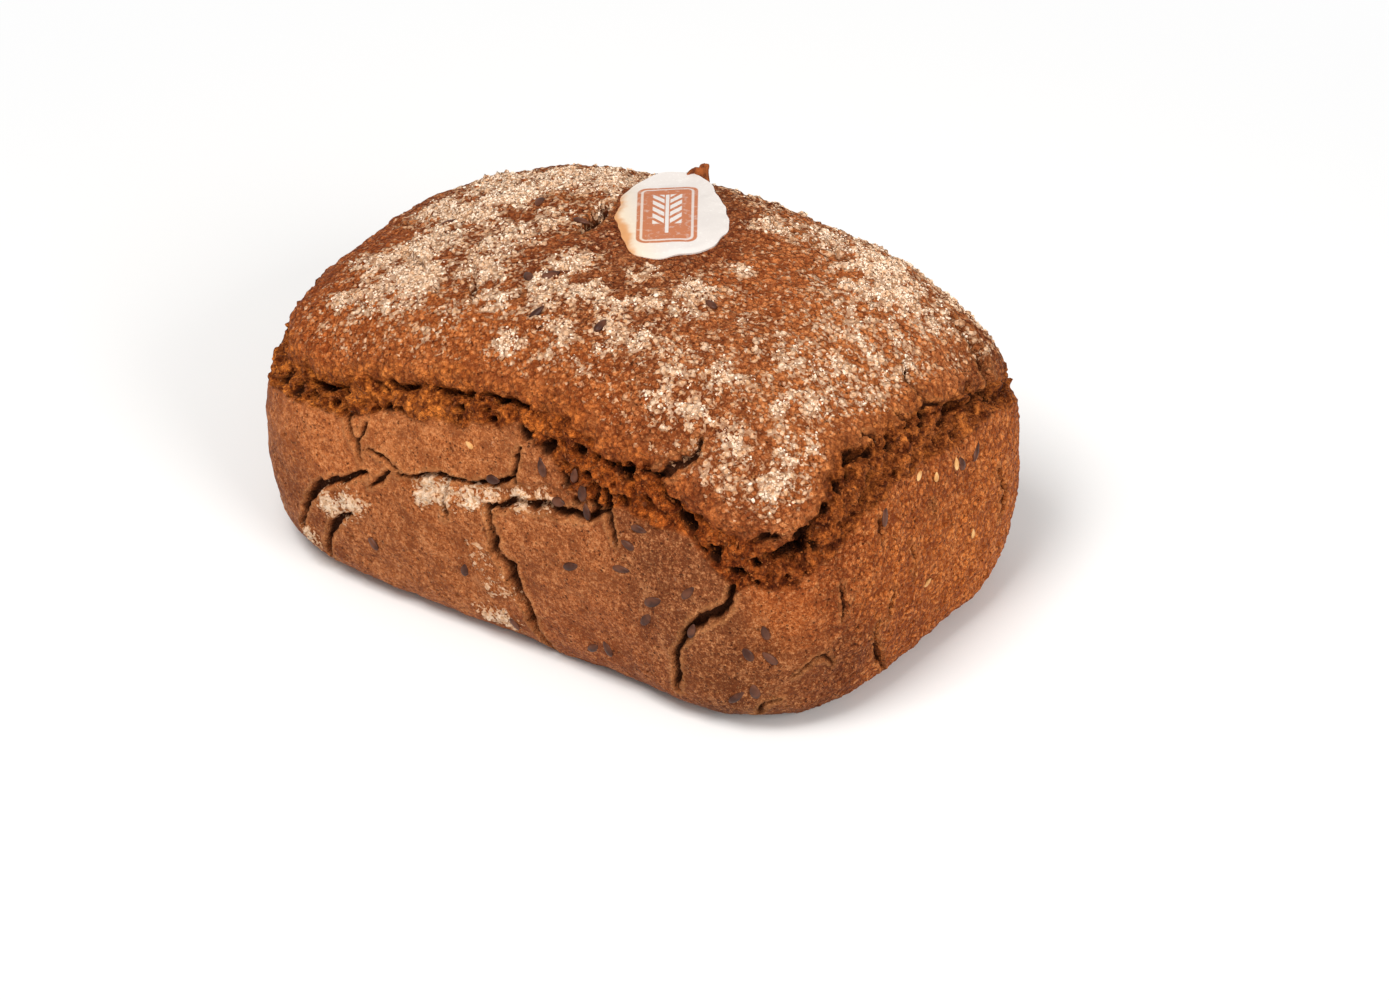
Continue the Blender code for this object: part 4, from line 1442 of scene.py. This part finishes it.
def make_studio():
    world = bpy.data.worlds.new("studio")
    bpy.context.scene.world = world
    world.use_nodes = True
    tree = world.node_tree
    tree.nodes.clear()
    out = tree.nodes.new("ShaderNodeOutputWorld")
    fill = tree.nodes.new("ShaderNodeBackground")
    fill.inputs["Color"].default_value = (1.0, 0.99, 0.98, 1.0)
    fill.inputs["Strength"].default_value = 0.50
    white = tree.nodes.new("ShaderNodeBackground")
    white.inputs["Color"].default_value = (0.985, 0.985, 0.985, 1.0)
    blend = tree.nodes.new("ShaderNodeMixShader")
    seen = tree.nodes.new("ShaderNodeLightPath").outputs["Is Camera Ray"]
    tree.links.new(seen, blend.inputs[0])
    tree.links.new(fill.outputs[0], blend.inputs[1])
    tree.links.new(white.outputs[0], blend.inputs[2])
    tree.links.new(blend.outputs[0], out.inputs["Surface"])
    soft_light("key", (-0.05, -0.50, 1.0), 1.6, 0.7, 19.8, (1.0, 0.985, 0.96))
    soft_light("side", (1.0, -0.35, 0.6), 1.8, 0.9, 17.5, (1.0, 0.985, 0.96))
    scene = bpy.context.scene
    scene.view_settings.view_transform = "Standard"


LENS = 181.43
CAMERA_TURN, CAMERA_RISE = 33.6, 36.0  # degrees
CAMERA_AWAY = 1.6509  # metres
LOOKED_AT = (1.79, 19.36, 0.0)


def make_camera():
    """Looks down at the loaf's near corner, a little past its long front."""
    data = bpy.data.cameras.new("camera")
    data.lens = LENS
    data.sensor_width = 36.0
    camera = bpy.data.objects.new("camera", data)
    bpy.context.collection.objects.link(camera)
    azimuth, elevation = math.radians(CAMERA_TURN), math.radians(CAMERA_RISE)
    back = Vector((math.sin(azimuth) * math.cos(elevation),
                   -math.cos(azimuth) * math.cos(elevation), math.sin(elevation)))
    target = Vector(to_world(np.array(LOOKED_AT)))
    camera.location = target + back * CAMERA_AWAY
    camera.rotation_euler = back.to_track_quat("Z", "Y").to_euler()
    data.clip_end = 20.0
    bpy.context.scene.camera = camera


# ------------------------------------------------------------------ make it
low, high = FORM[:, :, :2].reshape(-1, 2).min(0), FORM[:, :, :2].reshape(-1, 2).max(0)
loaf_low, loaf_high = (np.array(corner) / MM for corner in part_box("loaf"))
FORM_SLIDE[:2] = (loaf_low + loaf_high)[:2] / 2.0 - (low + high) / 2.0

make_camera()
make_studio()
make_floor(CAD_BOX[0][2])

grain = build_grain()
crust = crust_material(grain)

dome, dome_masks = make_dome(*DOME_GRID)
front, front_masks = make_walls("crust_walls_front", FRONT_FROM, BACK_FROM, *FRONT_GRID)
back, _ = make_walls("crust_walls_back", BACK_FROM, FRONT_FROM + ROUND, *BACK_GRID)
base = make_base()
for piece in (dome, front, back, base):
    give(piece, crust)

surfaces = {piece.name: surface_of(piece) for piece in (dome, front, back)}
crusts = list(surfaces.values())
dome_points = surfaces[dome.name][0]


def on_walls(spots):
    return [(float(bearing_of(np.array([a]))[0]), c, t) for a, c, t in spots]


def on_crown(spots):
    found = []
    for x, y, t in spots:
        _, bearing, climb = form_height(np.array([float(x)]), np.array([float(y)]))
        found.append((float(bearing[0]), float(climb[0]), t))
    return found


linseeds = lay_seeds("linseeds", on_walls(LINSEEDS) + on_crown(CROWN_LINSEEDS), crusts,
                     *LINSEED_SHAPE)
give(linseeds, seed_material("brown linseed", srgb(58, 30, 20), srgb(96, 56, 38), grain, 0.42))
sesame = lay_seeds("sesame_seeds", on_walls(SESAME), crusts, *SESAME_SHAPE)
give(sesame, seed_material("toasted sesame", srgb(196, 138, 78), srgb(226, 178, 118), grain, 0.5))

flour_weight = dome_masks["flour"]
clumps = lay_lumps("flour_clumps", surfaces[dome.name], np.clip(flour_weight - 0.4, 0.0, 1.0),
                   *FLOUR_CLUMPS, 5, 1)
give(clumps, lump_material("rye flour", srgb(222, 178, 138), srgb(252, 232, 210), grain))

crumb_weight = np.clip(dome_masks["torn"] - dome_masks["depth_and_shade"] * 0.6, 0.0, 1.0)
crumbs = lay_lumps("dome_crumbs", surfaces[dome.name], crumb_weight + 0.03,
                  *DOME_CRUMBS, 6, 1, 0.6, 0.05)
crumb_look = lump_material("torn rye crumb", srgb(92, 44, 18), srgb(158, 88, 38), grain)
give(crumbs, crumb_look)
wall_weight = np.clip(front_masks["torn"] - front_masks["depth_and_shade"] * 0.6, 0.0, 1.0)
wall_crumbs = lay_lumps("wall_crumbs", surfaces[front.name], wall_weight + 0.004,
                        *WALL_CRUMBS, 7, 1, 0.6, 0.05)
give(wall_crumbs, crumb_look)

tag = make_tag(dome_points)
give(tag, wafer_material(grain))
flake = make_flake(dome_points)
give(flake, lump_material("loose crust flake", srgb(96, 46, 22), srgb(158, 86, 42), grain))

for piece in (dome, front, back, base, linseeds, sesame, clumps, crumbs, wall_crumbs, flake):
    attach(piece, "root")
    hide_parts("loaf")
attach(tag, "root")
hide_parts("wafer_tag")
